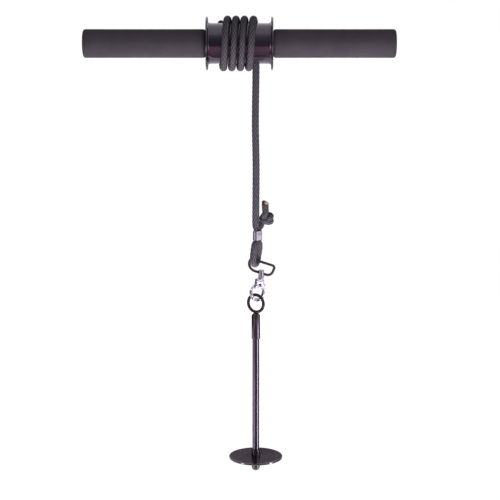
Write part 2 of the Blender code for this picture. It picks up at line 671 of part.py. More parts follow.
def make_loading_pin():
    """The ring, rod, sleeve, collar, disc and domed end cap."""
    ring_centre = hook_matrix() @ Vector((RING_U, -RING_V, 0))
    bpy.ops.mesh.primitive_torus_add(
        major_radius=RING_R, minor_radius=RING_WIRE_R, major_segments=40, minor_segments=12
    )
    ring = bpy.context.object
    ring.name = "pin_ring"
    for old in list(ring.users_collection):
        old.objects.unlink(ring)
    bpy.data.collections["wrist_trainer"].objects.link(ring)
    ring.data.materials.append(bpy.data.materials["black_wire"])
    facing = (math.sin(RING_TURN), -math.cos(RING_TURN), 0)
    ring.matrix_world = axis_matrix(ring_centre, facing)
    ring.data.shade_smooth()

    top = ring_centre - Vector((0, 0, RING_R + RING_WIRE_R + SEAT))
    frame = axis_matrix(top, (0, 0, 1))
    hole = ROD_R + SEAT
    cap_top = -ROD_TO_DISC - DISC_T + DISC_SEAT_DEEP - SEAT
    rod_end = cap_top - CAP_HOLE + SEAT
    chamfer = 0.6 * MM
    rod = [
        (0, 0), (ROD_R, 0), (ROD_R, rod_end + chamfer),
        (ROD_R - chamfer, rod_end), (0, rod_end),
    ]
    turned("pin_rod", rod, "black_paint", frame, steps=32, closed=False)

    sleeve_top = -SLEEVE_DROP
    edge = 0.3 * MM
    sleeve = [
        (SLEEVE_R - edge, sleeve_top), (SLEEVE_R, sleeve_top - edge),
        (SLEEVE_R, sleeve_top - SLEEVE_L + edge), (SLEEVE_R - edge, sleeve_top - SLEEVE_L),
        (hole, sleeve_top - SLEEVE_L), (hole, sleeve_top),
    ]
    turned("pin_sleeve", sleeve, "black_paint", frame, steps=32)

    face = -ROD_TO_DISC
    foot = face - DISC_SEAT_DEEP + SEAT
    collar_top = foot + COLLAR_L
    collar = [
        (SLEEVE_R - edge, collar_top), (SLEEVE_R, collar_top - edge), (SLEEVE_R, foot), (hole, foot),
        (hole, collar_top),
    ]
    turned("pin_collar", collar, "black_paint", frame, steps=32)

    seat = face - DISC_SEAT_DEEP
    below = face - DISC_T
    disc = [(hole, seat), (DISC_SEAT_R, seat), (DISC_SEAT_R, face), (DISC_R - DISC_EDGE, face)]
    disc += [(DISC_R, face - DISC_EDGE), (DISC_R, below + DISC_EDGE), (DISC_R - DISC_EDGE, below)]
    disc += [(DISC_SEAT_R, below), (DISC_SEAT_R, below + DISC_SEAT_DEEP), (hole, below + DISC_SEAT_DEEP)]
    turned("base_disc", disc, "black_paint", frame, steps=64)

    inside = ROD_R + CAP_WALL_SLACK
    dome = cap_top - CAP_L + CAP_R
    cap = [(inside, cap_top), (CAP_R, cap_top)] + arc((0, dome), CAP_R, 0, -90, 6)
    cap = cap[:-1] + [(0, cap_top - CAP_L), (0, cap_top - CAP_HOLE), (inside, cap_top - CAP_HOLE)]
    turned("end_cap", cap, "black_paint", frame, steps=32)


def carry():
    """Parents each moving body's pieces to an empty on its joint's axis, one body under the next."""
    right = LOOP_TILT_AXES[0]
    pivot = hook_matrix() @ Vector((PIVOT_U, -PIVOT_V, 0))
    hang = hook_matrix() @ Vector((RING_U, -RING_V + RING_R, 0))
    bodies = [
        ("rope_wind", None, axis_matrix((0, 0, 0), (-1, 0, 0)), ["rope_fall"]),
        ("load_lift", "rope_wind", axis_matrix(FALL, (0, 0, 1)), ["rope_loop", "rope_tail", "rope_clip"]),
        ("loop_swing", "load_lift", axis_matrix(ROPE_CROSSING, right), ["wire_loop"]),
        ("eye_tilt", "loop_swing", axis_matrix(EYE, (0, 1, 0)), ["swivel_eye"]),
        (
            "hook_swivel", "eye_tilt", axis_matrix(EYE, (0, 0, 1)),
            ["hook_body", "swivel_rivet", "gate_pin", "gate_spring"],
        ),
        ("gate_open", "hook_swivel", axis_matrix(pivot, -HOOK_W), ["gate"]),
        (
            "pin_swing", "hook_swivel", axis_matrix(hang, -HOOK_W),
            ["pin_ring", "pin_rod", "pin_sleeve", "pin_collar", "base_disc", "end_cap"],
        ),
    ]
    for joint, above, matrix, pieces in bodies:
        empty = place(joint + "_axis", None, None, matrix)
        empty.empty_display_size = 10 * MM
        if above:
            hang_under(empty, bpy.data.objects[above + "_axis"])
        for name in pieces:
            hang_under(bpy.data.objects[name], empty)


def hang_under(obj, parent):
    """Parents obj and keeps it where it is."""
    obj.parent = parent
    obj.matrix_parent_inverse = parent.matrix_world.inverted()
    bpy.context.view_layer.update()


start()
make_bar()
make_drum()
make_rope_turns()
make_hanging_rope()
make_clip()
make_wire_loop()
make_eye()
make_hook()
make_loading_pin()
carry()
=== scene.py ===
"""The wrist trainer's finished look: foam, braided rope, gloss paint and plated metal on its CAD frame."""

import json
import math

import bpy
from mathutils import Matrix, Vector

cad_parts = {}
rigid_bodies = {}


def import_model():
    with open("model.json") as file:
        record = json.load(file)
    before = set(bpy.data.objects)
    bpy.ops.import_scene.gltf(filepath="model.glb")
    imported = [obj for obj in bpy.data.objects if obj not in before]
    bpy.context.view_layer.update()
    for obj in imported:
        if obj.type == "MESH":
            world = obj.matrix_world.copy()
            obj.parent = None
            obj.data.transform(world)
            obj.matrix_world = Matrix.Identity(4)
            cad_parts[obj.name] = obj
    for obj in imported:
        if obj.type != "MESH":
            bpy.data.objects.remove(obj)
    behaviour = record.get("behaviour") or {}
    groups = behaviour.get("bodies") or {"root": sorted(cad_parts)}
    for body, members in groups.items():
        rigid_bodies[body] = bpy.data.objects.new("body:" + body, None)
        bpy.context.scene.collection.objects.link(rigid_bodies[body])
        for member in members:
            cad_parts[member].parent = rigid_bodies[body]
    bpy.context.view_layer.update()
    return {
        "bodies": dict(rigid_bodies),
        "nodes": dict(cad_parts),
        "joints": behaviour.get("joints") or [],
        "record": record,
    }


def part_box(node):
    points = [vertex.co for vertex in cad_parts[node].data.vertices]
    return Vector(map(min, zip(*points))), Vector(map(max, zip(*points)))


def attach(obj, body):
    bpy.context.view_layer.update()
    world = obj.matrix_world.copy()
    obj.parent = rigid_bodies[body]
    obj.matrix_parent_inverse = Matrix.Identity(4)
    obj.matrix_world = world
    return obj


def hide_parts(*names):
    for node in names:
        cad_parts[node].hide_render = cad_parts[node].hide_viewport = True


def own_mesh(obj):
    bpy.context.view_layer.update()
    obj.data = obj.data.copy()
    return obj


MM = 0.001
SEAT = 0.3 * MM  # gap between pieces that touch
UP = Vector((0, 0, 1))
MIDDLE = (0, 0, 0)
ALONG_BAR = (1, 0, 0)
SIDES = ((-1, "left"), (1, "right"))

# Camera, recovered from the photograph
CAMERA_AT = (11.4 * MM, -1539 * MM, 37.9 * MM)
CAMERA_DOWN = 9.8  # degrees
FOCAL_PX = 1400
FRAME_PX = 500
SENSOR_MM = 36

# Bar and grips
BAR_HALF = 170 * MM
TUBE_R = 11 * MM
TUBE_WALL = 1.5 * MM
TUBE_HALF = BAR_HALF - 4 * MM
TUBE_BORE_R = TUBE_R - TUBE_WALL
TUBE_EDGE = 0.4 * MM
ON_TUBE_R = TUBE_R + SEAT  # bore of what sits on the tube
GRIP_R = 15.5 * MM
GRIP_EDGE = 2.6 * MM
GRIP_LIP = 0.8 * MM
GRIP_ROWS = 26
GRIP_UNEVEN = 0.10 * MM
PLUG_RIM_R = TUBE_R - 0.4 * MM
PLUG_STEM_R = TUBE_BORE_R - 0.35 * MM
PLUG_RIBS = 3
PLUG_RIB_STEP = 3.4 * MM

# Drum
DRUM_R = 22 * MM
DRUM_WALL = 2 * MM
DRUM_BORE_R = DRUM_R - DRUM_WALL
DRUM_HOLE_R = 4.5 * MM
FLANGE_R = 29 * MM
FLANGE_T = 2 * MM
FLANGE_FILLET = 2.2 * MM
FLANGE_DISH = 0.35 * MM
FLANGE_OUT = 36.5 * MM
SPIGOT_L = 3 * MM
SPIGOT_WALL = 2.5 * MM

# Rope
ROPE_R = 3.75 * MM
ROPE_STRANDS = 8  # in each direction round the braid
ROPE_PICK = 2.7 * MM  # length of one crossing
ROPE_RELIEF = 0.42 * MM
ROPE_PROUD = 0.32 * MM
ROPE_STEP = 0.5 * MM
CROWN_ENDS = 0.55  # how high a strand still stands at the ends of its crossing
WIND_R = DRUM_R + ROPE_R + SEAT
TURN_PITCH = 9.2 * MM
FIRST_TURN_X = -17.6 * MM
TURNS = 3.75
LEAD_OFF = 1.1 * MM
LEAD_OFF_TURNS = 0.5
LONE_TURNS = 0.9  # stretch of the first and last turn with no turn beside it
SHADE_FROM = 0.55  # how far sideways a place faces where the painted shade between two turns begins
SHADE_OVER = 0.35
SHADE_DEEP = 0.9
HOLE_TURN = -0.42  # where round the drum its hole is
ANCHOR_R = 13.6 * MM
ANCHOR_SHIFT = 1.2 * MM
STOP_L = 3.8 * MM
EMERGE_BEND_R = 4.8 * MM
FALL_X = FIRST_TURN_X + TURN_PITCH * TURNS + LEAD_OFF
FALL_END_Z = -172 * MM
CLIP_TOP_Z = -210.6 * MM
CLIP_H = 10.4 * MM
CLIP_WALL = 0.8 * MM
CLIP_DENT = 0.35 * MM
STRANDS_APART = Vector((3.65, 3.55)) * MM
NECK_R = 2.3 * MM
ROPE_BEND_R = 6.0 * MM
ROPE_BEND_DROP = 5.15 * MM
ROPE_BEND_TURN = math.radians(64)
KNOT_AT = Vector((30.2 * MM, 32.2 * MM, -197.2 * MM))
STUB_X = 28.5 * MM
STUB_Y = 31.0 * MM
STUB_TOP_Z = -178.0 * MM

# Snap hook
WIRE_R = 1.5 * MM
LOOP_W = 29.4 * MM
LOOP_H = 13.4 * MM
ROPE_ON_LOOP = 5.6 * MM
EYE_R = 3.4 * MM
EYE_ABOVE = 3.8 * MM
EYE_BELOW = 5.5 * MM
EYE_BORE_R = 1.85 * MM
EYE_TOP_EDGE = 1.1 * MM
EYE_GROOVE = 0.35 * MM
EYE_FLOOR = -EYE_BELOW + 0.8 * MM
RIVET_R = 1.2 * MM
RIVET_HEAD_T = 0.7 * MM
HOOK_T = 4.6 * MM
GATE_T = 2.3 * MM
BOW = (-5.0 * MM, -16 * MM)  # the bow's middle, across the hook and up from its top
BOW_INSIDE = (6.8 * MM, 7.2 * MM)  # half its width and half its height
BOW_OUTSIDE = (9.2 * MM, 10.6 * MM)
BOW_SHOULDER = (6.8 * MM, 5.6 * MM)
PIVOT = (-2.6 * MM, -7.2 * MM)
PIVOT_R = 0.85 * MM
GATE_REACH = 10.9 * MM
SPRING_WIRE_R = 0.22 * MM
SPRING_R = 0.85 * MM
SPRING_U = 1.8 * MM
SPRING_TOP = -3.4 * MM - SEAT - SPRING_WIRE_R
SPRING_L = 1.86 * MM
SPRING_TURNS = 3

# Loading pin
RING_R = 9.9 * MM
RING_WIRE_R = 1.8 * MM
RING_TURN = math.radians(-30)
ROD_R = 4 * MM
ON_ROD_R = ROD_R + SEAT  # bore of what sits on the rod
SLEEVE_R = 5 * MM
SLEEVE_DOWN = 1.3 * MM
SLEEVE_L = 28 * MM
SLEEVE_EDGE = 0.45 * MM
COLLAR_L = 7.4 * MM
DISC_R = 31 * MM
DISC_T = 2.2 * MM
DISC_EDGE = 0.6 * MM
DISC_SEAT_R = 5.6 * MM
DISC_SEAT_DEEP = 0.2 * MM
CAP_R = 4.9 * MM
CAP_EDGE = 0.4 * MM
CAP_HOLLOW = 9.5 * MM
CAP_CLEAR = 0.25 * MM

# Floor
FLOOR_Z = -620 * MM
FLOOR_GLOW = 1.17
FLOOR_GLOWING = 0.84  # share of the floor's look that glows; the rest is lit by the lamps


# Selecting and finishing


def pick(obj):
    """Makes obj the only selected object, and the active one."""
    bpy.ops.object.select_all(action="DESELECT")
    obj.select_set(True)
    bpy.context.view_layer.objects.active = obj
    return obj


def named(name):
    """Names the object just added."""
    obj = bpy.context.object
    obj.name = name
    obj.data.name = name
    return obj


def linked(name, data):
    """A new object with its data, put in the scene."""
    obj = bpy.data.objects.new(name, data)
    bpy.context.scene.collection.objects.link(obj)
    return obj


def aimed(obj, at, aim, axis):
    """Turns obj, whose place is at, so that its axis points at aim."""
    obj.rotation_mode = "QUATERNION"
    obj.rotation_quaternion = (Vector(aim) - Vector(at)).to_track_quat(axis, "Y")
    return obj


def apply_place(obj, place):
    """Puts obj at its place and applies it, so that the object itself sits at the origin."""
    pick(obj)
    obj.matrix_basis = place @ obj.matrix_basis
    bpy.ops.object.transform_apply(location=True, rotation=True, scale=True)
    return obj


def apply_modifier(obj, kind, **settings):
    """Adds a modifier and applies it."""
    pick(obj)
    modifier = obj.modifiers.new(kind.lower(), kind)
    for key, value in settings.items():
        setattr(modifier, key, value)
    bpy.ops.object.modifier_apply(modifier=modifier.name)


def round_over(obj, width, segments=3, angle=40):
    """Rounds the edges that are sharper than angle."""
    apply_modifier(
        obj, "BEVEL", width=width, segments=segments, limit_method="ANGLE",
        angle_limit=math.radians(angle), harden_normals=False,
    )


def cut(obj, cutter):
    """Cuts cutter out of obj and removes it."""
    apply_modifier(obj, "BOOLEAN", operation="DIFFERENCE", solver="EXACT", object=cutter)
    bpy.data.objects.remove(cutter, do_unlink=True)


def smooth(obj, angle=35):
    """Shades obj smooth, with its sharp edges kept."""
    pick(obj)
    bpy.ops.object.shade_smooth_by_angle(angle=math.radians(angle))
    return obj


def dress(obj, material, slot, body, *nodes):
    """Gives obj its material, its body and the CAD nodes that it stands for. slot is not used."""
    obj.data.materials.clear()
    obj.data.materials.append(material)
    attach(obj, body)
    if nodes:
        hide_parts(*nodes)
    return obj


def axis_place(point, direction):
    """A frame at point whose +Z is direction."""
    turn = Vector(direction).to_track_quat("Z", "X").to_matrix().to_4x4()
    return Matrix.Translation(point) @ turn


# Shapes


def arc(centre, radius, start, end, count):
    """Points on an arc, or on an ellipse's where radius is a pair. Degrees."""
    across, up = radius if isinstance(radius, tuple) else (radius, radius)
    angles = [math.radians(start + (end - start) * i / count) for i in range(count + 1)]
    return [(centre[0] + across * math.cos(a), centre[1] + up * math.sin(a)) for a in angles]


def in_mm(points):
    """Points written in millimetres, in the scene's metres."""
    return [(u * MM, v * MM) for u, v in points]


def top_edge(radius, height, edge, count=5):
    """The rounded edge at the top of a turned piece, from its face down to its side."""
    return arc((radius - edge, height - edge), edge, 90, 0, count)


def bottom_edge(radius, height, edge, count=5):
    """The rounded edge at the bottom of a turned piece, from its side in to its face."""
    return arc((radius - edge, height + edge), edge, 0, -90, count)


def leave_edit():
    """Points all faces outwards and leaves edit mode."""
    bpy.ops.mesh.select_all(action="SELECT")
    bpy.ops.mesh.normals_make_consistent(inside=False)
    bpy.ops.object.mode_set(mode="OBJECT")


def drawn_out(name, rings, place, steps=96, bored=False):
    """A turned piece: a circle extruded and resized ring by ring, from (radius, height) pairs."""
    bpy.ops.object.select_all(action="DESELECT")
    radius, height = rings[0]
    bpy.ops.mesh.primitive_circle_add(vertices=steps, radius=radius, location=(0, 0, height))
    obj = named(name)
    bpy.ops.object.mode_set(mode="EDIT")
    bpy.ops.mesh.select_mode(type="EDGE")
    bpy.ops.mesh.select_all(action="SELECT")
    for next_radius, next_height in rings[1:]:
        rise = next_height - height
        bpy.ops.mesh.extrude_edges_move(TRANSFORM_OT_translate={"value": (0, 0, rise)})
        grow = next_radius / radius
        bpy.ops.transform.resize(value=(grow, grow, 1), center_override=(0, 0, next_height))
        radius, height = next_radius, next_height
    bpy.ops.mesh.select_all(action="DESELECT")
    bpy.ops.mesh.select_non_manifold()
    if bored:
        bpy.ops.mesh.bridge_edge_loops()
    else:
        bpy.ops.mesh.select_all(action="SELECT")
        bpy.ops.mesh.fill_holes(sides=0)
    leave_edit()
    return apply_place(obj, place)


def outlined(name, outline, height):
    """A closed line of edges through the outline's points, in edit mode and selected all over."""
    bpy.ops.object.select_all(action="DESELECT")
    bpy.ops.mesh.primitive_circle_add(vertices=len(outline), radius=1)
    obj = named(name)
    for vertex, (x, y) in zip(obj.data.vertices, outline):
        vertex.co = (x, y, height)
    bpy.ops.object.mode_set(mode="EDIT")
    bpy.ops.mesh.select_mode(type="EDGE")
    bpy.ops.mesh.select_all(action="SELECT")
    return obj


def pressed_plate(name, outline, thickness, place):
    """A flat piece cut to an outline: its face filled, then extruded to its thickness."""
    obj = outlined(name, outline, -thickness / 2)
    bpy.ops.mesh.edge_face_add()
    bpy.ops.mesh.extrude_region_move(TRANSFORM_OT_translate={"value": (0, 0, thickness)})
    leave_edit()
    return apply_place(obj, place)


def round_cutter(point, direction, radius, length, steps=48):
    """A round cutter centred on point."""
    bpy.ops.object.select_all(action="DESELECT")
    bpy.ops.mesh.primitive_cylinder_add(vertices=steps, radius=radius, depth=length)
    return apply_place(named("cutter"), axis_place(point, direction))


def bent_wire(name, points, radius, closed=False, sides=24):
    """A round wire along points, as a curve made a mesh."""
    curve = bpy.data.curves.new(name, "CURVE")
    curve.dimensions = "3D"
    curve.bevel_depth = radius
    curve.bevel_resolution = sides // 4
    curve.use_fill_caps = not closed
    spline = curve.splines.new("POLY")
    spline.points.add(len(points) - 1)
    for spot, point in zip(spline.points, points):
        spot.co = (*point, 1)
    spline.use_cyclic_u = closed
    pick(linked(name, curve))
    bpy.ops.object.convert(target="MESH")
    bpy.ops.object.mode_set(mode="EDIT")
    bpy.ops.mesh.select_all(action="SELECT")
    bpy.ops.mesh.remove_doubles(threshold=0.002 * MM)
    leave_edit()
    return named(name)


def rounded_loop(corners, count=16):
    """A closed loop of (x, y) through corners given as (x, y, radius)."""
    points = []
    for i, (x, y, radius) in enumerate(corners):
        here = Vector((x, y))
        before = (Vector(corners[i - 1][:2]) - here).normalized()
        after = (Vector(corners[(i + 1) % len(corners)][:2]) - here).normalized()
        half = before.angle(after) / 2
        centre = here + (before + after).normalized() * radius / math.sin(half)
        first = here + before * radius / math.tan(half) - centre
        last = here + after * radius / math.tan(half) - centre
        sweep = first.angle_signed(last)
        for k in range(count + 1):
            points.append(tuple(centre + Matrix.Rotation(-sweep * k / count, 2) @ first))
    return points


# The braided rope


def smooth_path(knots, spacing):
    """One smooth curve (Catmull-Rom) through knots of (x, y, z, radius share), as 4D points."""
    knots = [Vector(k) for k in knots]
    ends = [knots[0] * 2 - knots[1], *knots, knots[-1] * 2 - knots[-2]]
    path = []
    for a, b, c, d in zip(ends, ends[1:], ends[2:], ends[3:]):
        count = max(2, round((c - b).xyz.length / spacing))
        for i in range(count):
            t = i / count
            square, cube = t * t, t * t * t
            curve = 2 * b + (c - a) * t + (2 * a - 5 * b + 4 * c - d) * square
            path.append(0.5 * (curve + (3 * b - a - 3 * c + d) * cube))
    path.append(knots[-1])
    return path


def even_path(path, spacing):
    """The path again, with its points an even distance apart."""
    along = [0.0]
    for a, b in zip(path, path[1:]):
        along.append(along[-1] + (b - a).xyz.length)
    count = max(2, round(along[-1] / spacing))
    even, i = [], 0
    for k in range(count + 1):
        goal = along[-1] * k / count
        while i < len(path) - 2 and along[i + 1] < goal:
            i += 1
        share = (goal - along[i]) / (along[i + 1] - along[i])
        even.append(path[i].lerp(path[i + 1], min(1, max(0, share))))
    return even, along[-1]


def crown(around, along):
    """How high a strand stands in the braid, 0 to 1. Strands of the two directions go over in turn."""
    a = around * ROPE_STRANDS + along / (2 * ROPE_PICK)
    b = around * ROPE_STRANDS - along / (2 * ROPE_PICK)
    cell_a, cell_b = math.floor(a), math.floor(b)
    over = (cell_a + cell_b) % 2 == 0
    across, length = (b - cell_b, a - cell_a) if over else (a - cell_a, b - cell_b)
    round_top = math.sqrt(max(0, 1 - (2 * across - 1) ** 2))
    return round_top * (CROWN_ENDS + (1 - CROWN_ENDS) * math.sin(math.pi * length))


def painted_shade_between_turns(point, out):
    """How deep between two turns the rope's surface lies, 0 to 1, which sets its painted shade there. out
    points to it from the rope's line.
    """
    turn = (point.x - FIRST_TURN_X) / TURN_PITCH
    if (out.x < 0 and turn < LONE_TURNS) or (out.x > 0 and turn > TURNS - LONE_TURNS):
        return 0.0
    return min(1, max(0, (abs(out.x) - SHADE_FROM) / SHADE_OVER))


def braided(name, path, start=0.0, sides=48, painted_shade_at=None):
    """The rope as a braided tube along a path of (x, y, z, radius share). Its shading function says where
    painted shade darkens it.
    """
    rings, total = even_path(path, ROPE_STEP)
    step = total / (len(rings) - 1)
    points = [r.xyz for r in rings]
    tangents = [(b - a).normalized() for a, b in zip([points[0], *points[:-1]], [*points[1:], points[-1]])]
    side = tangents[0].orthogonal().normalized()
    places, crowns_with_painted_shade = [], []
    for i, (point, tangent) in enumerate(zip(points, tangents)):
        side = (side - tangent * side.dot(tangent)).normalized()
        other = tangent.cross(side)
        radius = ROPE_R * rings[i].w + ROPE_PROUD
        for k in range(sides):
            angle = 2 * math.pi * k / sides
            high = crown(k / sides, start + i * step)
            reach = radius - ROPE_RELIEF * (1 - high)
            out = side * math.cos(angle) + other * math.sin(angle)
            places.append(point + out * reach)
            # painted shade: between the turns the crown that colours the rope is scaled down; the surface's
            # height keeps the plain crown
            crowns_with_painted_shade.append(high * (1 - SHADE_DEEP * painted_shade_at(point, out)) if painted_shade_at else high)
    faces = []
    for i in range(len(rings) - 1):
        for k in range(sides):
            j = (k + 1) % sides
            faces.append((i * sides + k, i * sides + j, (i + 1) * sides + j, (i + 1) * sides + k))
    tube_faces = len(faces)
    faces.append(tuple(reversed(range(sides))))
    faces.append(tuple(range((len(rings) - 1) * sides, len(rings) * sides)))
    mesh = bpy.data.meshes.new(name)
    mesh.from_pydata(places, [], faces)
    layer = mesh.uv_layers.new(name="rope")
    for face in mesh.polygons[:tube_faces]:
        for loop in face.loop_indices:
            vertex = mesh.loops[loop].vertex_index
            ring, k = divmod(vertex, sides)
            wrapped = 1 if k == 0 and face.index % sides == sides - 1 else k / sides
            layer.data[loop].uv = (wrapped, (start + ring * step) / (ROPE_STRANDS * ROPE_PICK))
    # the crown attribute carries the painted shade of the braid's crevices and of the gaps between the turns
    attribute = mesh.attributes.new("crown", "FLOAT", "POINT")
    attribute.data.foreach_set("value", crowns_with_painted_shade)
    return smooth(linked(name, mesh), 80), [tuple(p) for p in points], total


def cut_off(tail, core):
    """Cuts the rope's end off at a slant and shows the core in the middle of the cut."""
    cut_at = (STUB_X, STUB_Y, STUB_TOP_Z - 1.2 * MM)
    end_above, end_beyond = STUB_TOP_Z - 6 * MM, 24 * MM  # only the end is so high and so far along the bar
    pick(tail)
    bpy.ops.object.mode_set(mode="EDIT")
    bpy.ops.mesh.select_mode(type="VERT")
    bpy.ops.mesh.select_all(action="DESELECT")
    bpy.ops.object.mode_set(mode="OBJECT")
    for vertex in tail.data.vertices:
        vertex.select = vertex.co.z > end_above and vertex.co.x > end_beyond
    bpy.ops.object.mode_set(mode="EDIT")
    bpy.ops.mesh.bisect(plane_co=cut_at, plane_no=(0.22, -0.50, 0.84), use_fill=True, clear_outer=True)
    bpy.ops.mesh.select_mode(type="FACE")
    for size, shift in (
        (0.86, (0, 0, 0.15 * MM)),
        (0.58, (1.1 * MM, -0.8 * MM, -0.3 * MM)),
        (0.92, (0.3 * MM, -0.3 * MM, 1.1 * MM)),
    ):
        bpy.ops.mesh.extrude_region_move(TRANSFORM_OT_translate={"value": (0, 0, 0)})
        bpy.ops.transform.resize(value=(size, size, size), center_override=cut_at)
        bpy.ops.transform.translate(value=shift)
    bpy.ops.mesh.select_more()
    bpy.ops.object.mode_set(mode="OBJECT")
    tail.data.materials.append(core)
    for face in tail.data.polygons:
        if face.select:
            face.material_index = 1


def on_drum(turn, radius, x):
    """A point round the bar. Turn 0 is under it, 0.25 in front, 0.5 on top."""
    angle = 2 * math.pi * turn
    return Vector((x, -radius * math.sin(angle), -radius * math.cos(angle)))


def turn_x(turn):
    """Where along the bar the rope lies at a turn."""
    step = min(1, max(0, (turn - TURNS + LEAD_OFF_TURNS) / LEAD_OFF_TURNS))
    return FIRST_TURN_X + TURN_PITCH * turn + LEAD_OFF * step * step * (3 - 2 * step)


def hole_x():
    """Where along the bar the drum's hole is."""
    return turn_x(HOLE_TURN) + ANCHOR_SHIFT


def drum_path():
    """The rope's line from inside the drum, out of its hole and round it to where it leaves the back."""
    x = hole_x()
    bend_turns = EMERGE_BEND_R / (2 * math.pi * WIND_R)
    halfway = (ANCHOR_R + WIND_R - EMERGE_BEND_R) / 2
    line = [on_drum(HOLE_TURN, ANCHOR_R, x), on_drum(HOLE_TURN, halfway, x)]
    bend_steps, wound_steps = 12, 720
    for i in range(bend_steps + 1):
        angle = math.pi / 2 * i / bend_steps
        radius = WIND_R - EMERGE_BEND_R * (1 - math.sin(angle))
        line.append(on_drum(HOLE_TURN + bend_turns * (1 - math.cos(angle)), radius, x))
    first = HOLE_TURN + bend_turns
    for i in range(1, wound_steps + 1):
        here = first + (TURNS - first) * i / wound_steps
        settle = min(1, (here - first) / -first)
        line.append(on_drum(here, WIND_R, (1 - settle) * x + settle * turn_x(here)))
    return [Vector((*p, 1)) for p in line]


def fall_path():
    """The straight fall behind the drum, very slightly wavy."""
    x, y = FALL_X, WIND_R
    knots = [(x, y, 0, 1), (x, y, -34 * MM, 1), (x - 0.6 * MM, y, -88 * MM, 1)]
    knots += [(x + 0.2 * MM, y, -134 * MM, 1), (x + 0.1 * MM, y, FALL_END_Z, 1)]
    return smooth_path(knots, 2 * MM)


def clip_strands():
    """Plan positions of the two strands squeezed in the rope clip."""
    step = STRANDS_APART / 2
    middle = Vector((FALL_X + 1.9 * MM, WIND_R + 0.1 * MM))
    return tuple(middle - step), tuple(middle + step)


def end_path(crossing):
    """The rope's lower end: through its clip, round the wire, back through the clip and into its knot."""
    x, y = FALL_X, WIND_R
    bottom = CLIP_TOP_Z - CLIP_H
    front, back = clip_strands()
    neck = NECK_R / ROPE_R
    bend = Vector((math.cos(ROPE_BEND_TURN), math.sin(ROPE_BEND_TURN), 0))
    knots = [
        (x + 0.1 * MM, y, FALL_END_Z, 1),
        (x, y, FALL_END_Z - 12 * MM, 1),
        (x, y, CLIP_TOP_Z + 7 * MM, 1),
        (*front, CLIP_TOP_Z + MM, neck),
        (*front, bottom - 0.4 * MM, neck),
        (front[0] - 0.9 * MM, front[1] - 0.8 * MM, bottom - 3.4 * MM, 0.86),
        (front[0] - 1.9 * MM, front[1] - 2.2 * MM, bottom - 9 * MM, 0.97),
    ]
    bend_steps = 8
    for i in range(bend_steps + 1):
        angle = math.pi * i / bend_steps
        spot = crossing - bend * ROPE_BEND_R * math.cos(angle)
        spot.z -= ROPE_BEND_DROP * math.sin(angle)
        knots.append((*spot, 0.94 - 0.06 * math.sin(angle)))
    knots += [
        (back[0] + 0.1 * MM, back[1] + 2.2 * MM, bottom - 9 * MM, 0.97),
        (back[0] + 0.1 * MM, back[1] + 0.8 * MM, bottom - 3.4 * MM, 0.86),
        (*back, bottom - 0.4 * MM, neck),
        (*back, CLIP_TOP_Z + MM, neck),
        (23.6 * MM, 30.2 * MM, CLIP_TOP_Z + 4.6 * MM, 0.8),
        (25.0 * MM, 32.4 * MM, CLIP_TOP_Z + 8.6 * MM, 0.88),
    ]
    # A tight overhand knot, seen from in front: t^3 - 3t up, t^4 - 4t^2 to the left, and its depth listed
    # point by point
    tight = [
        (-1.95, 2.6), (-1.84, 0.4), (-1.7, -2.6), (-1.5, -1.6), (-1.25, 0.9), (-1.0, 2.2), (-0.55, 2.6),
        (-0.25, 1.2), (0.0, 0.0), (0.25, -1.2), (0.55, -2.6), (1.0, -2.2), (1.25, -0.9), (1.5, 1.6),
        (1.7, 2.6), (1.84, -0.2), (1.95, -2.6),
    ]
    wide, high = 2.4, 1.85
    for t, depth in tight:
        up = t**3 - 3 * t
        left = t**4 - 4 * t**2
        spot = KNOT_AT + Vector((-wide * (left + 2), depth, high * up)) * MM
        knots.append((*spot, 0.87))
    knots += [
        (28.9 * MM, 29.6 * MM, -190 * MM, 0.9),
        (28.7 * MM, 30.4 * MM, -185 * MM, 0.97),
        (STUB_X, STUB_Y, STUB_TOP_Z + 3 * MM, 0.97),
    ]
    return smooth_path(knots, MM)


# Shader groups


def start_group(name, inputs, outputs):
    """A shader node group with named inputs (name, default) and outputs."""
    tree = bpy.data.node_groups.new(name, "ShaderNodeTree")
    for label, value in inputs:
        if value is None:
            tree.interface.new_socket(name=label, in_out="INPUT", socket_type="NodeSocketVector")
            continue
        socket = tree.interface.new_socket(name=label, in_out="INPUT", socket_type="NodeSocketFloat")
        socket.default_value = value
    for label in outputs:
        tree.interface.new_socket(name=label, in_out="OUTPUT", socket_type="NodeSocketFloat")
    return tree, tree.nodes.new("NodeGroupInput"), tree.nodes.new("NodeGroupOutput")


def noise(tree, vector, scale, detail=3.0, roughness=0.5):
    """A noise texture whose scale is a number or a socket."""
    node = tree.nodes.new("ShaderNodeTexNoise")
    node.inputs["Detail"].default_value = detail
    node.inputs["Roughness"].default_value = roughness
    tree.links.new(vector, node.inputs["Vector"])
    if isinstance(scale, (int, float)):
        node.inputs["Scale"].default_value = scale
    else:
        tree.links.new(scale, node.inputs["Scale"])
    return node.outputs["Fac"]


def maths(tree, kind, a, b=None):
    """A Math node on sockets or numbers."""
    node = tree.nodes.new("ShaderNodeMath")
    node.operation = kind
    for i, value in enumerate((a, b)):
        if value is None:
            continue
        if isinstance(value, (int, float)):
            node.inputs[i].default_value = value
        else:
            tree.links.new(value, node.inputs[i])
    return node.outputs[0]


def grain_group():
    """Fine grain, cells and broad cloudiness, which every finish uses at its own scale."""
    tree, inside, out = start_group(
        "surface_grain", [("Vector", None), ("Fine", 900), ("Broad", 30)], ["Fine", "Broad", "Cells"]
    )
    vector = inside.outputs["Vector"]
    tree.links.new(noise(tree, vector, inside.outputs["Fine"], 2.0, 0.6), out.inputs["Fine"])
    tree.links.new(noise(tree, vector, inside.outputs["Broad"], 4.0), out.inputs["Broad"])
    cells = tree.nodes.new("ShaderNodeTexVoronoi")
    tree.links.new(vector, cells.inputs["Vector"])
    tree.links.new(inside.outputs["Fine"], cells.inputs["Scale"])
    tree.links.new(cells.outputs["Distance"], out.inputs["Cells"])
    return tree


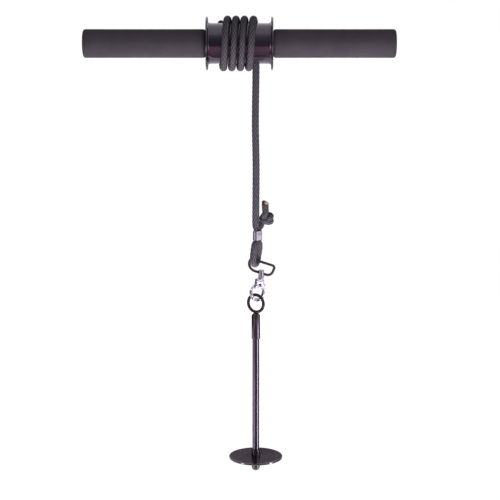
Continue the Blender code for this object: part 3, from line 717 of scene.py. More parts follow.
def handling_group():
    """Where handling has dulled a surface: soft smears with thin rubs."""
    tree, inside, out = start_group(
        "handling_marks", [("Vector", None), ("Scale", 60), ("Amount", 0.5)], ["Dulled", "Rubs"]
    )
    vector = inside.outputs["Vector"]
    smears = noise(tree, vector, inside.outputs["Scale"], 5.0, 0.6)
    above = maths(tree, "SUBTRACT", smears, 0.48)
    dulled = maths(tree, "MULTIPLY", maths(tree, "MAXIMUM", above, 0.0), inside.outputs["Amount"])
    tree.links.new(dulled, out.inputs["Dulled"])
    stretch = tree.nodes.new("ShaderNodeVectorMath")
    stretch.operation = "MULTIPLY"
    stretch.inputs[1].default_value = (1, 1, 6)
    tree.links.new(vector, stretch.inputs[0])
    rubs = noise(tree, stretch.outputs[0], maths(tree, "MULTIPLY", inside.outputs["Scale"], 9), 3.0)
    tree.links.new(maths(tree, "GREATER_THAN", rubs, 0.66), out.inputs["Rubs"])
    return tree


# Materials


def new_material(name, colour, roughness, metallic=0.0, **constants):
    """A Principled material. constants are sockets that stay the same all over the surface."""
    material = bpy.data.materials.new(name)
    material.use_nodes = True
    shader = material.node_tree.nodes["Principled BSDF"]
    shader.inputs["Base Color"].default_value = (*colour, 1)
    shader.inputs["Roughness"].default_value = roughness
    shader.inputs["Metallic"].default_value = metallic
    for key, value in constants.items():
        shader.inputs[key.replace("_", " ")].default_value = value
    return material, material.node_tree, shader


def place_group(tree, group, vector, **values):
    """Places a shader group in a material."""
    node = tree.nodes.new("ShaderNodeGroup")
    node.node_tree = group
    tree.links.new(vector, node.inputs["Vector"])
    for key, value in values.items():
        node.inputs[key].default_value = value
    return node


def object_vector(tree):
    """The Object coordinates socket."""
    return tree.nodes.new("ShaderNodeTexCoord").outputs["Object"]


def blend_colours(tree, mask, low, high):
    """A colour ramp that goes from low to high with the mask."""
    ramp = tree.nodes.new("ShaderNodeValToRGB")
    ramp.color_ramp.elements[0].color = (*low, 1)
    ramp.color_ramp.elements[1].color = (*high, 1)
    tree.links.new(mask, ramp.inputs["Fac"])
    return ramp


def colour_by(tree, shader, mask, low, high, start, end):
    """Colours the surface from low to high as the mask goes from start to end."""
    ramp = blend_colours(tree, mask, low, high)
    ramp.color_ramp.elements[0].position = start
    ramp.color_ramp.elements[1].position = end
    tree.links.new(ramp.outputs["Color"], shader.inputs["Base Color"])


def worn(tree, shader, marks, rubs, roughness):
    """Roughens the surface from its plain roughness where it is smeared or rubbed."""
    rubbed = maths(tree, "MULTIPLY", marks.outputs["Rubs"], rubs)
    marked = maths(tree, "ADD", marks.outputs["Dulled"], rubbed)
    tree.links.new(maths(tree, "ADD", marked, roughness), shader.inputs["Roughness"])


def between(tree, mask, low, high):
    """A number that goes from low to high as the mask goes from 0 to 1."""
    node = tree.nodes.new("ShaderNodeMapRange")
    node.inputs["To Min"].default_value = low
    node.inputs["To Max"].default_value = high
    tree.links.new(mask, node.inputs["Value"])
    return node.outputs["Result"]


def bump(tree, shader, height, strength, distance):
    """Feeds a bump into the shader's normal."""
    node = tree.nodes.new("ShaderNodeBump")
    node.inputs["Strength"].default_value = strength
    node.inputs["Distance"].default_value = distance
    tree.links.new(height, node.inputs["Height"])
    tree.links.new(node.outputs["Normal"], shader.inputs["Normal"])


def foam_material(grain):
    """Closed-cell foam: matt, finely pitted, faintly cloudy."""
    material, tree, shader = new_material(
        "grip_foam", (0.055, 0.048, 0.056), 0.88, Specular_IOR_Level=0.24, Sheen_Weight=0.03,
        Sheen_Roughness=0.6,
    )
    marks = place_group(tree, grain, object_vector(tree), Fine=1500, Broad=45)
    fine = maths(tree, "MULTIPLY", marks.outputs["Fine"], 0.6)
    mixed = maths(tree, "ADD", fine, maths(tree, "MULTIPLY", marks.outputs["Broad"], 0.4))
    colour_by(tree, shader, mixed, (0.040, 0.034, 0.041), (0.072, 0.063, 0.074), 0.3, 0.7)
    tree.links.new(between(tree, marks.outputs["Broad"], 0.82, 0.96), shader.inputs["Roughness"])
    bump(tree, shader, marks.outputs["Cells"], 0.35, 0.15 * MM)
    return material


def paint_material(name, handling, grain, low, high, roughness, peel, wear, shine):
    """Gloss black coating with a slight orange peel, dulled a little by use."""
    material, tree, shader = new_material(
        name, low, roughness, Coat_Roughness=0.06, Coat_IOR=1.5, Specular_IOR_Level=shine,
        Specular_Tint=(0.88, 0.80, 1.0, 1),
    )
    vector = object_vector(tree)
    marks = place_group(tree, handling, vector, Scale=55, Amount=wear)
    grains = place_group(tree, grain, vector, Fine=420, Broad=35)
    colour_by(tree, shader, grains.outputs["Broad"], low, high, 0.35, 0.7)
    worn(tree, shader, marks, 0.1, roughness)
    tree.links.new(between(tree, marks.outputs["Dulled"], 0.5, 0.2), shader.inputs["Coat Weight"])
    bump(tree, shader, grains.outputs["Fine"], peel, 0.06 * MM)
    return material


def wire_material(name, handling, grain, low, high, metallic):
    """Black-plated wire, satin, with a little bare metal in its sheen."""
    material, tree, shader = new_material(name, low, 0.32, metallic)
    vector = object_vector(tree)
    marks = place_group(tree, handling, vector, Scale=140, Amount=0.9)
    grains = place_group(tree, grain, vector, Fine=1400, Broad=160)
    colour_by(tree, shader, grains.outputs["Broad"], low, high, 0.35, 0.75)
    tree.links.new(maths(tree, "ADD", marks.outputs["Dulled"], 0.28), shader.inputs["Roughness"])
    bump(tree, shader, grains.outputs["Fine"], 0.12, 0.04 * MM)
    return material


def plated_material(name, handling, grain, tint, roughness, wave):
    """Bright plate over cast or rolled metal, with its faint waviness and hairline rubs."""
    material, tree, shader = new_material(name, tint, roughness, 1.0)
    vector = object_vector(tree)
    marks = place_group(tree, handling, vector, Scale=180, Amount=0.6)
    grains = place_group(tree, grain, vector, Fine=1100, Broad=170)
    dull = tuple(0.84 * c for c in tint)
    colour_by(tree, shader, grains.outputs["Broad"], dull, tint, 0.3, 0.6)
    worn(tree, shader, marks, 0.12, roughness)
    bump(tree, shader, grains.outputs["Broad"], wave, 0.15 * MM)
    return material


def rope_material(grain):
    """Braided cord: painted shade between its strands and between its turns, with fine fibres that run along
    each strand.
    """
    material, tree, shader = new_material(
        "braided_cord", (0.08, 0.074, 0.086), 0.85, Specular_IOR_Level=0.2, Sheen_Weight=0.03,
        Sheen_Roughness=0.5,
    )
    uv = tree.nodes.new("ShaderNodeUVMap")
    uv.uv_map = "rope"
    split = tree.nodes.new("ShaderNodeSeparateXYZ")
    tree.links.new(uv.outputs["UV"], split.inputs[0])
    fibres = []
    for way in (0.5, -0.5):
        slant = maths(tree, "ADD", split.outputs["X"], maths(tree, "MULTIPLY", split.outputs["Y"], way))
        joined = tree.nodes.new("ShaderNodeCombineXYZ")
        tree.links.new(maths(tree, "MULTIPLY", slant, 300.0), joined.inputs["X"])
        tree.links.new(maths(tree, "MULTIPLY", split.outputs["Y"], 12.0), joined.inputs["Y"])
        fibres.append(noise(tree, joined.outputs[0], 1.0, 1.0))
    both = maths(tree, "MULTIPLY", maths(tree, "ADD", *fibres), 0.5)
    crowns_with_painted_shade = tree.nodes.new("ShaderNodeAttribute")
    crowns_with_painted_shade.attribute_name = "crown"
    height = crowns_with_painted_shade.outputs["Fac"]
    painted_shade_and_fibres = maths(tree, "ADD", maths(tree, "MULTIPLY", height, 0.72), maths(tree, "MULTIPLY", both, 0.28))
    # painted shade: near black where the crown is low, in the braid's crevices and between the turns
    colour_by(tree, shader, painted_shade_and_fibres, (0.008, 0.006, 0.008), (0.128, 0.118, 0.139), 0.30, 0.90)
    grains = place_group(tree, grain, object_vector(tree), Fine=2200, Broad=90)
    tree.links.new(between(tree, grains.outputs["Broad"], 0.74, 0.95), shader.inputs["Roughness"])
    bump(tree, shader, both, 0.5, 0.12 * MM)
    return material


def core_material(grain):
    """The rope's orange core, where the cut end shows it."""
    material, tree, shader = new_material("rope_core", (0.78, 0.24, 0.09), 0.6, Sheen_Weight=0.2)
    grains = place_group(tree, grain, object_vector(tree), Fine=2600, Broad=700)
    colour_by(tree, shader, grains.outputs["Broad"], (0.95, 0.33, 0.18), (1.0, 0.68, 0.50), 0.3, 0.7)
    bump(tree, shader, grains.outputs["Fine"], 0.5, 0.1 * MM)
    return material


def plastic_material(grain):
    """Moulded black plastic with a fine spark-eroded grain."""
    material, tree, shader = new_material("plug_plastic", (0.022, 0.022, 0.025), 0.5)
    grains = place_group(tree, grain, object_vector(tree), Fine=2600, Broad=80)
    colour_by(tree, shader, grains.outputs["Broad"], (0.016, 0.016, 0.018), (0.030, 0.029, 0.033), 0.3, 0.7)
    tree.links.new(between(tree, grains.outputs["Fine"], 0.42, 0.62), shader.inputs["Roughness"])
    bump(tree, shader, grains.outputs["Cells"], 0.2, 0.05 * MM)
    return material


# Stage


def add_card(name, size, at, aim, colour, strength=1.0):
    """A glowing or dark card that only reflections show. It faces the point aim."""
    bpy.ops.object.select_all(action="DESELECT")
    bpy.ops.mesh.primitive_plane_add(size=1, location=at)
    card = aimed(named(name), at, aim, "Z")
    card.scale = (*size, 1)
    material = bpy.data.materials.new(name)
    material.use_nodes = True
    tree = material.node_tree
    tree.nodes.remove(tree.nodes["Principled BSDF"])
    glow = tree.nodes.new("ShaderNodeEmission")
    glow.inputs["Color"].default_value = (*colour, 1)
    glow.inputs["Strength"].default_value = strength
    tree.links.new(glow.outputs["Emission"], tree.nodes["Material Output"].inputs["Surface"])
    card.data.materials.append(material)
    card.visible_camera = False
    card.visible_diffuse = False
    card.visible_shadow = False
    return card


def place_on(card):
    """The card's shader tree, with how far across and up the card a place lies, both -0.5 to 0.5."""
    tree = card.active_material.node_tree
    split = tree.nodes.new("ShaderNodeSeparateXYZ")
    tree.links.new(object_vector(tree), split.inputs[0])
    return tree, split.outputs["X"], split.outputs["Y"]


def set_glow(tree, strength):
    """Makes a card glow with a strength that changes over it."""
    tree.links.new(strength, tree.nodes["Emission"].inputs["Strength"])


def seen_rays(tree, shiny_tint, colour_input):
    """Tints white for shiny surfaces, and gives the rays and a mask of those from the camera or off such."""
    rays = tree.nodes.new("ShaderNodeLightPath").outputs
    tint = blend_colours(tree, rays["Is Glossy Ray"], (1, 1, 1), shiny_tint)
    tree.links.new(tint.outputs["Color"], colour_input)
    return rays, maths(tree, "MAXIMUM", rays["Is Camera Ray"], rays["Is Glossy Ray"])


def mix_shaders(tree, share, first, second):
    """A mix of two shaders."""
    mix = tree.nodes.new("ShaderNodeMixShader")
    tree.links.new(share, mix.inputs["Fac"])
    tree.links.new(first, mix.inputs[1])
    tree.links.new(second, mix.inputs[2])
    return mix.outputs["Shader"]


def make_floor():
    """A white floor that keeps a faint shadow. From below it is clear, so that it hides nothing."""
    bpy.ops.object.select_all(action="DESELECT")
    bpy.ops.mesh.primitive_plane_add(size=60, location=(0, 0, FLOOR_Z))
    floor = named("floor")
    material, tree, shader = new_material("floor_white", (0.84, 0.84, 0.85), 0.9)
    glow = tree.nodes.new("ShaderNodeEmission")
    glow.inputs["Strength"].default_value = FLOOR_GLOW
    _, seen = seen_rays(tree, (0.92, 0.87, 1.0), glow.inputs["Color"])
    glowing = maths(tree, "MULTIPLY", seen, FLOOR_GLOWING)
    above = mix_shaders(tree, glowing, shader.outputs["BSDF"], glow.outputs["Emission"])
    clear = tree.nodes.new("ShaderNodeBsdfTransparent").outputs["BSDF"]
    backfacing = tree.nodes.new("ShaderNodeNewGeometry").outputs["Backfacing"]
    surface = mix_shaders(tree, backfacing, above, clear)
    tree.links.new(surface, tree.nodes["Material Output"].inputs["Surface"])
    floor.data.materials.append(material)


def make_world():
    """White surroundings that light the trainer only dimly."""
    world = bpy.data.worlds.new("studio")
    bpy.context.scene.world = world
    world.use_nodes = True
    tree = world.node_tree
    background = tree.nodes["Background"]
    rays, seen = seen_rays(tree, (0.94, 0.90, 1.0), background.inputs["Color"])
    seen = maths(tree, "MAXIMUM", seen, rays["Is Transmission Ray"])
    tree.links.new(between(tree, seen, 0.30, 1.0), background.inputs["Strength"])


def make_cards():
    """What only shiny surfaces see: a dim room, a pale ceiling in front, and strip lights at both sides."""
    room = add_card("card_front", (5.0, 4.2), (0.0, -2.3, 1.35), (0, 0, 1.35), (0.80, 0.76, 1.0))
    tree, _, up = place_on(room)
    height = maths(tree, "MAXIMUM", maths(tree, "ADD", up, 0.5), 0.0)
    set_glow(tree, between(tree, maths(tree, "POWER", height, 1.9), 0.01, 0.95))

    red = add_card("card_red", (0.5, 0.60), (0.0, -0.34, -0.16), (0, -0.34, 1), (0.88, 0.40, 0.62))
    tree, _, up = place_on(red)
    edge = maths(tree, "POWER", maths(tree, "MULTIPLY", maths(tree, "ABSOLUTE", up), 2.0), 3.0)
    set_glow(tree, between(tree, edge, 0.85, 0.0))

    trainer = (0, 0, -0.15)
    for name, size, at, aim, colour in (
        ("card_floor", (1.3, 2.35), (0.0, -1.23, -0.605), (0, -1.23, 1), (0.012, 0.009, 0.012)),
        ("card_low_right", (1.4, 1.2), (0.95, 0.45, -0.605), (0.95, 0.45, 1), (0.02, 0.015, 0.02)),
        ("card_left", (2.4, 2.6), (-1.16, 0.31, -0.25), trainer, (0.012, 0.009, 0.012)),
        ("card_right", (1.1, 1.5), (1.45, 0.95, -0.45), trainer, (0.02, 0.015, 0.02)),
        ("card_behind", (2.6, 0.9), (0.25, 2.3, -0.02), trainer, (0.15, 0.085, 0.14)),
    ):
        add_card(name, size, at, aim, colour)

    shade = add_card("card_disc", (0.5, 0.2), (0.03, 2.2, 0.24), (0.03, 0, 0.24), (0.127, 0.102, 0.127))
    tree, across, up = place_on(shade)
    side = maths(tree, "MULTIPLY", maths(tree, "ABSOLUTE", across), 5.0)
    rise = maths(tree, "MULTIPLY", maths(tree, "ADD", up, 0.5), 1.6)
    both = maths(tree, "MULTIPLY", maths(tree, "ADD", side, rise), 0.5)
    set_glow(tree, between(tree, both, -0.3, 1.9))

    loading_pin = (0.018, 0.026, -0.47)
    for name, at, colour, fade_from, fade_over, power, strength in (
        ("strip_left", (-0.146, -0.089, -0.47), (0.87, 0.82, 1.0), 0.37, 0.27, 1.6, 13.0),
        ("strip_right", (0.196, -0.065, -0.47), (0.90, 0.86, 1.0), 0.56, 0.20, 1.0, 20.5),
    ):
        tree, _, up = place_on(add_card(name, (0.034, 0.25), at, loading_pin, colour, strength))
        below = maths(tree, "DIVIDE", maths(tree, "SUBTRACT", fade_from, up), fade_over)
        share = maths(tree, "MINIMUM", maths(tree, "MAXIMUM", below, 0.0), 1.0)
        set_glow(tree, maths(tree, "MULTIPLY", maths(tree, "POWER", share, power), strength))

    for (side, word), strength in zip(SIDES, (7.0, 4.0)):
        at = (side * 0.20, -0.22, -0.12)
        add_card("glint_" + word, (0.10, 0.15), at, MIDDLE, (0.90, 0.86, 1.0), strength)


def make_lamps():
    """Soft lamps in front, below, beside and behind."""
    for name, size, at, aim, watts in (
        ("low_front", (0.3, 0.4), (0.24, -0.72, -0.58), (0, 0, -0.1), 5.8),
        ("under", (0.3, 0.3), (0.02, -0.16, -0.60), (0.02, -0.10, 0), 4.0),
        ("side_fill", (0.3, 0.9), (0.35, -1.6, 0.15), (0, 0, -0.2), 3),
        ("back_fill", (0.6, 0.9), (-0.2, 1.6, -0.25), (0, 0, -0.2), 12),
    ):
        lamp = bpy.data.lights.new(name, "AREA")
        lamp.shape = "RECTANGLE"
        lamp.size, lamp.size_y = size
        lamp.energy = watts
        lamp.color = (1.0, 0.94, 1.0)
        obj = aimed(linked(name, lamp), at, aim, "-Z")
        obj.location = at
        obj.visible_camera = False
        obj.visible_glossy = False


def make_camera():
    """The photograph's viewpoint."""
    camera = bpy.data.cameras.new("camera")
    camera.sensor_width = SENSOR_MM
    camera.lens = FOCAL_PX * SENSOR_MM / FRAME_PX
    obj = linked("camera", camera)
    obj.location = CAMERA_AT
    obj.rotation_euler = (math.radians(90 - CAMERA_DOWN), 0, 0)
    bpy.context.scene.camera = obj


# Bar and drum


def make_tube(paint):
    """The steel tube under the grips and the drum."""
    end = TUBE_HALF - TUBE_EDGE
    rings = [(TUBE_R, end), (TUBE_R, -end), (TUBE_R - TUBE_EDGE, -TUBE_HALF), (TUBE_BORE_R, -TUBE_HALF)]
    rings += [(TUBE_BORE_R, TUBE_HALF), (TUBE_R - TUBE_EDGE, TUBE_HALF)]
    tube = drawn_out("bar_steel", rings, axis_place(MIDDLE, ALONG_BAR), bored=True)
    dress(smooth(tube), paint, "black_paint", "bar", "bar_tube")


def make_grip(foam, side, word):
    """A foam grip with rounded ends, its skin a little uneven along its length."""
    inner_end = FLANGE_OUT + SEAT
    length = BAR_HALF - inner_end
    skin = arc((GRIP_R - GRIP_EDGE, GRIP_EDGE), GRIP_EDGE, -90, 0, 10)
    for i in range(1, GRIP_ROWS):
        height = GRIP_EDGE + (length - 2 * GRIP_EDGE) * i / GRIP_ROWS
        soft = GRIP_UNEVEN * math.sin(5.1 * i + 2 * side) * math.sin(math.pi * i / GRIP_ROWS)
        skin.append((GRIP_R - abs(soft), height))
    skin += arc((GRIP_R - GRIP_EDGE, length - GRIP_EDGE), GRIP_EDGE, 0, 90, 10)
    skin += arc((ON_TUBE_R + GRIP_LIP, length - GRIP_LIP), GRIP_LIP, 90, 180, 4)
    skin += [(ON_TUBE_R, GRIP_LIP), (ON_TUBE_R + GRIP_LIP, 0)]
    frame = axis_place((side * inner_end, 0, 0), (side, 0, 0))
    grip = smooth(drawn_out("foam_" + word, skin, frame, steps=128, bored=True), 50)
    dress(grip, foam, "foam", "bar", "grip_" + word)


def make_plug(plastic, side, word):
    """A plastic plug in the tube's end: a low head with a dimple, and a ribbed stem."""
    rings = in_mm([(0.6, 1.75), (5.6, 1.75), (6.2, 2.35)])
    rings += arc((PLUG_RIM_R - 1.5 * MM, 0.85 * MM), 1.5 * MM, 88, 0, 6) + [(PLUG_RIM_R, 0)]
    for i in range(PLUG_RIBS):
        rib = -2.2 * MM - PLUG_RIB_STEP * i
        rings += [(PLUG_STEM_R - 0.7 * MM, rib + 0.9 * MM), (PLUG_STEM_R, rib + 0.5 * MM)]
        rings += [(PLUG_STEM_R, rib - 0.6 * MM)]
    rings += [(PLUG_STEM_R - MM, -11.8 * MM), (0.6 * MM, -12 * MM)]
    frame = axis_place((side * (TUBE_HALF + SEAT), 0, 0), (side, 0, 0))
    plug = smooth(drawn_out("plug_" + word, rings, frame, steps=64), 30)
    dress(plug, plastic, "plug_plastic", "bar", "end_plug_" + word)


def make_drum(paint):
    """The drum's tube, with the hole that the rope comes out of."""
    half = FLANGE_OUT - FLANGE_T - SEAT
    bands = 8
    rings = [(DRUM_R, half - 2 * half * i / bands) for i in range(bands + 1)]
    rings += [(DRUM_BORE_R, -half), (DRUM_BORE_R, half)]
    shell = drawn_out("drum_tube", rings, axis_place(MIDDLE, ALONG_BAR), steps=160, bored=True)
    at, outwards = on_drum(HOLE_TURN, DRUM_R, hole_x()), on_drum(HOLE_TURN, 1, 0)
    cut(shell, round_cutter(at, outwards, DRUM_HOLE_R, 8 * DRUM_WALL))
    round_over(shell, 0.25 * MM, 2)
    dress(smooth(shell), paint, "black_paint", "bar", "drum_shell")


def make_flange(paint, side, word):
    """A spun flange: a dished face, a rounded rim, a filleted root and a spigot into the drum."""
    rim = FLANGE_T / 2
    root = DRUM_R + SEAT
    spigot = DRUM_BORE_R - SEAT
    face = FLANGE_T - FLANGE_DISH
    rings = [(ON_TUBE_R, face), (ON_TUBE_R + 0.6 * MM, face), (19 * MM, face), (21 * MM, FLANGE_T)]
    rings += arc((FLANGE_R - rim, rim), rim, 90, -90, 12)
    rings += arc((root + FLANGE_FILLET, -FLANGE_FILLET), FLANGE_FILLET, 90, 180, 8)
    rings += [(root, -0.1 * MM), (spigot, 0), (spigot, -SPIGOT_L), (spigot - SPIGOT_WALL, -SPIGOT_L)]
    rings += [(spigot - SPIGOT_WALL, 0), (ON_TUBE_R, 0)]
    frame = axis_place((side * (FLANGE_OUT - FLANGE_T), 0, 0), (side, 0, 0))
    flange = smooth(drawn_out("flange_spun_" + word, rings, frame, steps=160, bored=True), 40)
    dress(flange, paint, "black_paint", "bar", "flange_" + word)


# Rope


def make_rope(rope, core, crossing):
    """The braided rope in its three stretches: wound on the drum, hanging, and knotted."""
    turns, _, length = braided("rope_wound", drum_path(), painted_shade_at=painted_shade_between_turns)
    dress(turns, rope, "rope", "bar", "rope_turns")

    fall, fall_line, fall_length = braided("rope_hanging", fall_path(), start=length)
    dress(fall, rope, "rope", "rope_fall", "rope_fall")
    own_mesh(fall)

    tail, tail_line, tail_length = braided("rope_knotted", end_path(crossing), start=length + fall_length)
    dress(tail, rope, "rope", "rope_end", "rope_loop", "rope_tail")
    cut_off(tail, core)


def make_stop(plated):
    """The stop crimped on the rope's end inside the drum: a ring with a narrower waist."""
    bore = ROPE_R + SEAT
    rings = in_mm([(5.75, 3.8), (5.75, 2.8), (5.5, 2.5), (5.5, 1.3), (5.75, 1), (5.75, 0)])
    rings += [(bore, 0), (bore, STOP_L)]
    outwards = on_drum(HOLE_TURN, 1, 0)
    stop = drawn_out("rope_stop_ring", rings, axis_place(MIDDLE, outwards), 64, bored=True)
    low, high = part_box("rope_stop")
    middle = (Vector(low) + Vector(high)) / 2
    apply_place(stop, Matrix.Translation(middle - outwards.normalized() * (STOP_L / 2)))
    dress(smooth(stop), plated, "bright_metal", "bar", "rope_stop")


def make_clip(plated):
    """The sleeve crimped round the rope's two strands: an oval band, dented where the tool closed it."""
    front, back = (Vector(p) for p in clip_strands())
    along = (back - front).normalized()
    facing = math.degrees(math.atan2(along.y, along.x))
    inner = NECK_R + SEAT
    outline = arc(back, inner, facing - 90, facing + 90, 24)
    outline += arc(front, inner, facing + 90, facing + 270, 24)
    band = outlined("rope_clip_sleeve", outline, CLIP_TOP_Z)
    rows = 20
    for _ in range(rows):
        bpy.ops.mesh.extrude_edges_move(TRANSFORM_OT_translate={"value": (0, 0, -CLIP_H / rows)})
    leave_edit()
    apply_modifier(band, "SOLIDIFY", thickness=CLIP_WALL, offset=1.0)
    middle = (front + back) / 2
    across = Vector((-along.y, along.x))
    for vertex in band.data.vertices:
        flat = Vector(vertex.co[:2]) - middle
        height = (vertex.co.z - CLIP_TOP_Z) / -CLIP_H
        wide = abs(flat.dot(along)) / (inner + 2.5 * MM)
        if abs(flat.dot(across)) > inner + 0.5 * CLIP_WALL:
            dent = CLIP_DENT * math.sin(math.pi * height) ** 2 * max(0, 1 - wide)
            push = across * (dent if flat.dot(across) < 0 else -dent)
            vertex.co.x += push.x
            vertex.co.y += push.y
    round_over(band, 0.22 * MM, 3, 60)
    dress(smooth(band, 50), plated, "bright_metal", "rope_end", "rope_clip")


# Snap hook


def make_wire_loop(wire, corner, right, down):
    """The D-shaped wire loop."""
    corners = [
        (0, 0, 3.2 * MM),
        (LOOP_W, 0, 3.2 * MM),
        (LOOP_W - 0.6 * MM, -LOOP_H, 6.2 * MM),
        (0.6 * MM, -LOOP_H, 9.2 * MM),
    ]
    points = [corner + right * x - down * y for x, y in rounded_loop(corners)]
    loop = bent_wire("loop_wire", points, WIRE_R, closed=True)
    dress(smooth(loop, 60), wire, "black_wire", "wire_loop", "wire_loop")


def make_eye(plated, eye, right):
    """The swivel eye: a grooved barrel with a bore that rocks on the wire and room for the rivet's head."""
    roof = EYE_FLOOR + RIVET_HEAD_T + 2 * SEAT
    bore, head_room = RIVET_R + SEAT, 2.3 * MM
    rings = [(0.4 * MM, EYE_ABOVE), (EYE_R - EYE_TOP_EDGE, EYE_ABOVE)]
    rings += top_edge(EYE_R, EYE_ABOVE, EYE_TOP_EDGE, 6)
    rings += [(EYE_R, -EYE_BELOW + 1.9 * MM), (EYE_R - EYE_GROOVE, -EYE_BELOW + 1.5 * MM)]
    rings += [(EYE_R - EYE_GROOVE, -EYE_BELOW + 1.1 * MM), (EYE_R, -EYE_BELOW + 0.8 * MM)]
    rings += [(EYE_R, -EYE_BELOW + 0.25 * MM), (EYE_R - 0.25 * MM, -EYE_BELOW), (bore, -EYE_BELOW)]
    rings += [(bore, EYE_FLOOR), (head_room, EYE_FLOOR), (head_room, roof), (0.4 * MM, roof)]
    barrel = drawn_out("eye_barrel", rings, axis_place(eye, UP), steps=96)
    for direction in (right, Vector((right.x, 0, -right.z))):
        cut(barrel, round_cutter(eye, direction, EYE_BORE_R, 6 * EYE_R))
    round_over(barrel, 0.12 * MM, 2, 55)
    dress(smooth(barrel, 30), plated, "bright_metal", "swivel_eye", "swivel_eye")


def make_rivet(plated, eye):
    """The rivet that joins the barrel and the hook."""
    top, under = EYE_FLOOR + RIVET_HEAD_T + SEAT, EYE_FLOOR + SEAT
    end = -EYE_BELOW - SEAT - 2.2 * MM
    rings = [(0.3 * MM, top), (1.8 * MM, top), (2.0 * MM, top - 0.2 * MM), (2.0 * MM, under)]
    rings += [(RIVET_R, under), (RIVET_R, end), (0.3 * MM, end)]
    rivet = drawn_out("swivel_stem", rings, axis_place(eye, UP), steps=48)
    dress(smooth(rivet), plated, "bright_metal", "hook", "swivel_rivet")


def make_hook_body(cast, frame, outward, pivot):
    """The cast hook: its head and back, its round bow and nose, slotted for the gate."""
    outline = [(2.6, -0.9), (1.9, 0), (-6.4, 0), (-7.0, -0.8), (-7.2, -3.0), (-7.4, -5.2), (-8.1, -7.4)]
    outline += [(-9.0, -9.3), (-9.1, -10.1), (-8.9, -10.7), (-8.2, -11.1), (-3.6, -10.8)]
    outline = in_mm(outline)
    outline += arc(BOW, BOW_SHOULDER, 56, 0, 12)[:-1]
    outline += arc(BOW, BOW_INSIDE, 0, -180, 44)
    outline += in_mm([(-11.85, -14.8), (-11.95, -13.8), (-12.3, -12.95)])
    outline += in_mm([(-12.8, -12.6), (-13.4, -12.65), (-13.9, -13.2)])
    outline += arc(BOW, BOW_OUTSIDE, 180, 360, 52)
    outline += in_mm([(3.95, -12.5), (3.6, -9), (3.1, -5.5)])
    body = pressed_plate("hook_casting", outline, HOOK_T, frame)
    round_over(body, 0.8 * MM, 5, 50)
    slot = in_mm([(-11, -3.4), (-11, -11.8), (-1, -11.8), (0.5, -10.8), (8, -10.8), (8, -3.4)])
    cut(body, pressed_plate("cutter", slot, GATE_T + 2 * SEAT, frame))
    cut(body, round_cutter(pivot, outward, PIVOT_R + SEAT, 3 * HOOK_T))
    cut(body, round_cutter(frame.translation - UP * (1.1 * MM), UP, RIVET_R + SEAT, 2.8 * MM))
    round_over(body, 0.1 * MM, 2, 60)
    dress(smooth(body, 32), cast, "bright_metal", "hook", "hook_body")


def make_gate(cast, frame, outward, pivot):
    """The sprung gate with its thumb tab."""
    tab = [(6.5, -9.6), (6.7, -9.2), (6.7, -8.6), (6.3, -8.0), (4.4, -7.7), (2.4, -7.0)]
    back = [(0.4, -6.0), (-0.7, -5.1), (-1.6, -4.7), (-4.2, -4.6), (-6.1, -4.9), (-7.6, -5.6), (-8.9, -6.8)]
    under = [(-11.4, -12.4), (-10.4, -11.5), (-9.4, -11.0), (-6.4, -10.3), (-3.6, -10.1), (-0.6, -9.7)]
    outline = in_mm(tab + back + [(-9.8, -8.0)])
    outline += arc(PIVOT, GATE_REACH, 198, 207, 4)
    outline += in_mm(under + [(4.2, -9.9)])
    gate = pressed_plate("gate_lever", outline, GATE_T, frame)
    round_over(gate, 0.35 * MM, 3, 50)
    cut(gate, round_cutter(pivot, outward, PIVOT_R + SEAT, 3 * HOOK_T))
    dress(smooth(gate, 32), cast, "bright_metal", "gate", "gate")


def make_gate_pin(wire, outward, pivot):
    """The gate's pivot pin, with the same low head on both sides."""
    face = HOOK_T / 2 + SEAT
    out = face + 0.4 * MM
    head = [(0.2 * MM, out), (0.8 * MM, out), (1.25 * MM, out - 0.12 * MM), (1.5 * MM, face), (PIVOT_R, face)]
    rings = head + [(radius, -height) for radius, height in reversed(head)]
    pin = drawn_out("gate_rivet", rings, axis_place(pivot, outward), steps=48)
    dress(smooth(pin, 30), wire, "black_wire", "hook", "gate_pin")


def make_gate_spring(cast, frame):
    """The coil spring that holds the gate shut."""
    steps = 32
    coil = []
    for i in range(SPRING_TURNS * steps + 1):
        angle = 2 * math.pi * i / steps
        height = SPRING_TOP - SPRING_L * i / (SPRING_TURNS * steps)
        across = SPRING_U + SPRING_R * math.cos(angle)
        coil.append(frame @ Vector((across, height, SPRING_R * math.sin(angle))))
    spring = bent_wire("gate_coil", coil, SPRING_WIRE_R, sides=12)
    dress(smooth(spring, 60), cast, "bright_metal", "hook", "gate_spring")
    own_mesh(spring)


# Loading pin


def node_heights(node, top):
    """How high a CAD node's lowest and highest points lie over the rod's top."""
    low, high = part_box(node)
    return low[2] - top.z, high[2] - top.z


def make_pin_ring(wire, centre):
    """The ring that hangs in the hook."""
    outward = Vector((math.sin(RING_TURN), -math.cos(RING_TURN), 0))
    bpy.ops.object.select_all(action="DESELECT")
    bpy.ops.mesh.primitive_torus_add(
        major_radius=RING_R, minor_radius=RING_WIRE_R, major_segments=128, minor_segments=32
    )
    ring = apply_place(named("ring_round_wire"), axis_place(centre, outward))
    dress(smooth(ring, 60), wire, "black_wire", "loading_pin", "pin_ring")


def make_rod(paint, top):
    """The rod, with the low weld bead that carries the ring on its top."""
    end, _ = node_heights("pin_rod", top)
    shoulder = -0.8 * MM
    rings = in_mm([(0.3, 0.95), (1.3, 0.85), (2.0, 0.55), (2.5, 0.15), (2.9, 0), (3.3, 0)])
    rings += [(ROD_R - 0.2 * MM, -0.3 * MM), (ROD_R, shoulder)]
    bands = 10
    rings += [(ROD_R, shoulder + (end + 1.6 * MM) * i / bands) for i in range(1, bands + 1)]
    rings += [(ROD_R - 0.6 * MM, end), (0.4 * MM, end)]
    rod = drawn_out("rod_steel", rings, axis_place(top, UP), steps=96)
    dress(smooth(rod), paint, "black_paint", "loading_pin", "pin_rod")


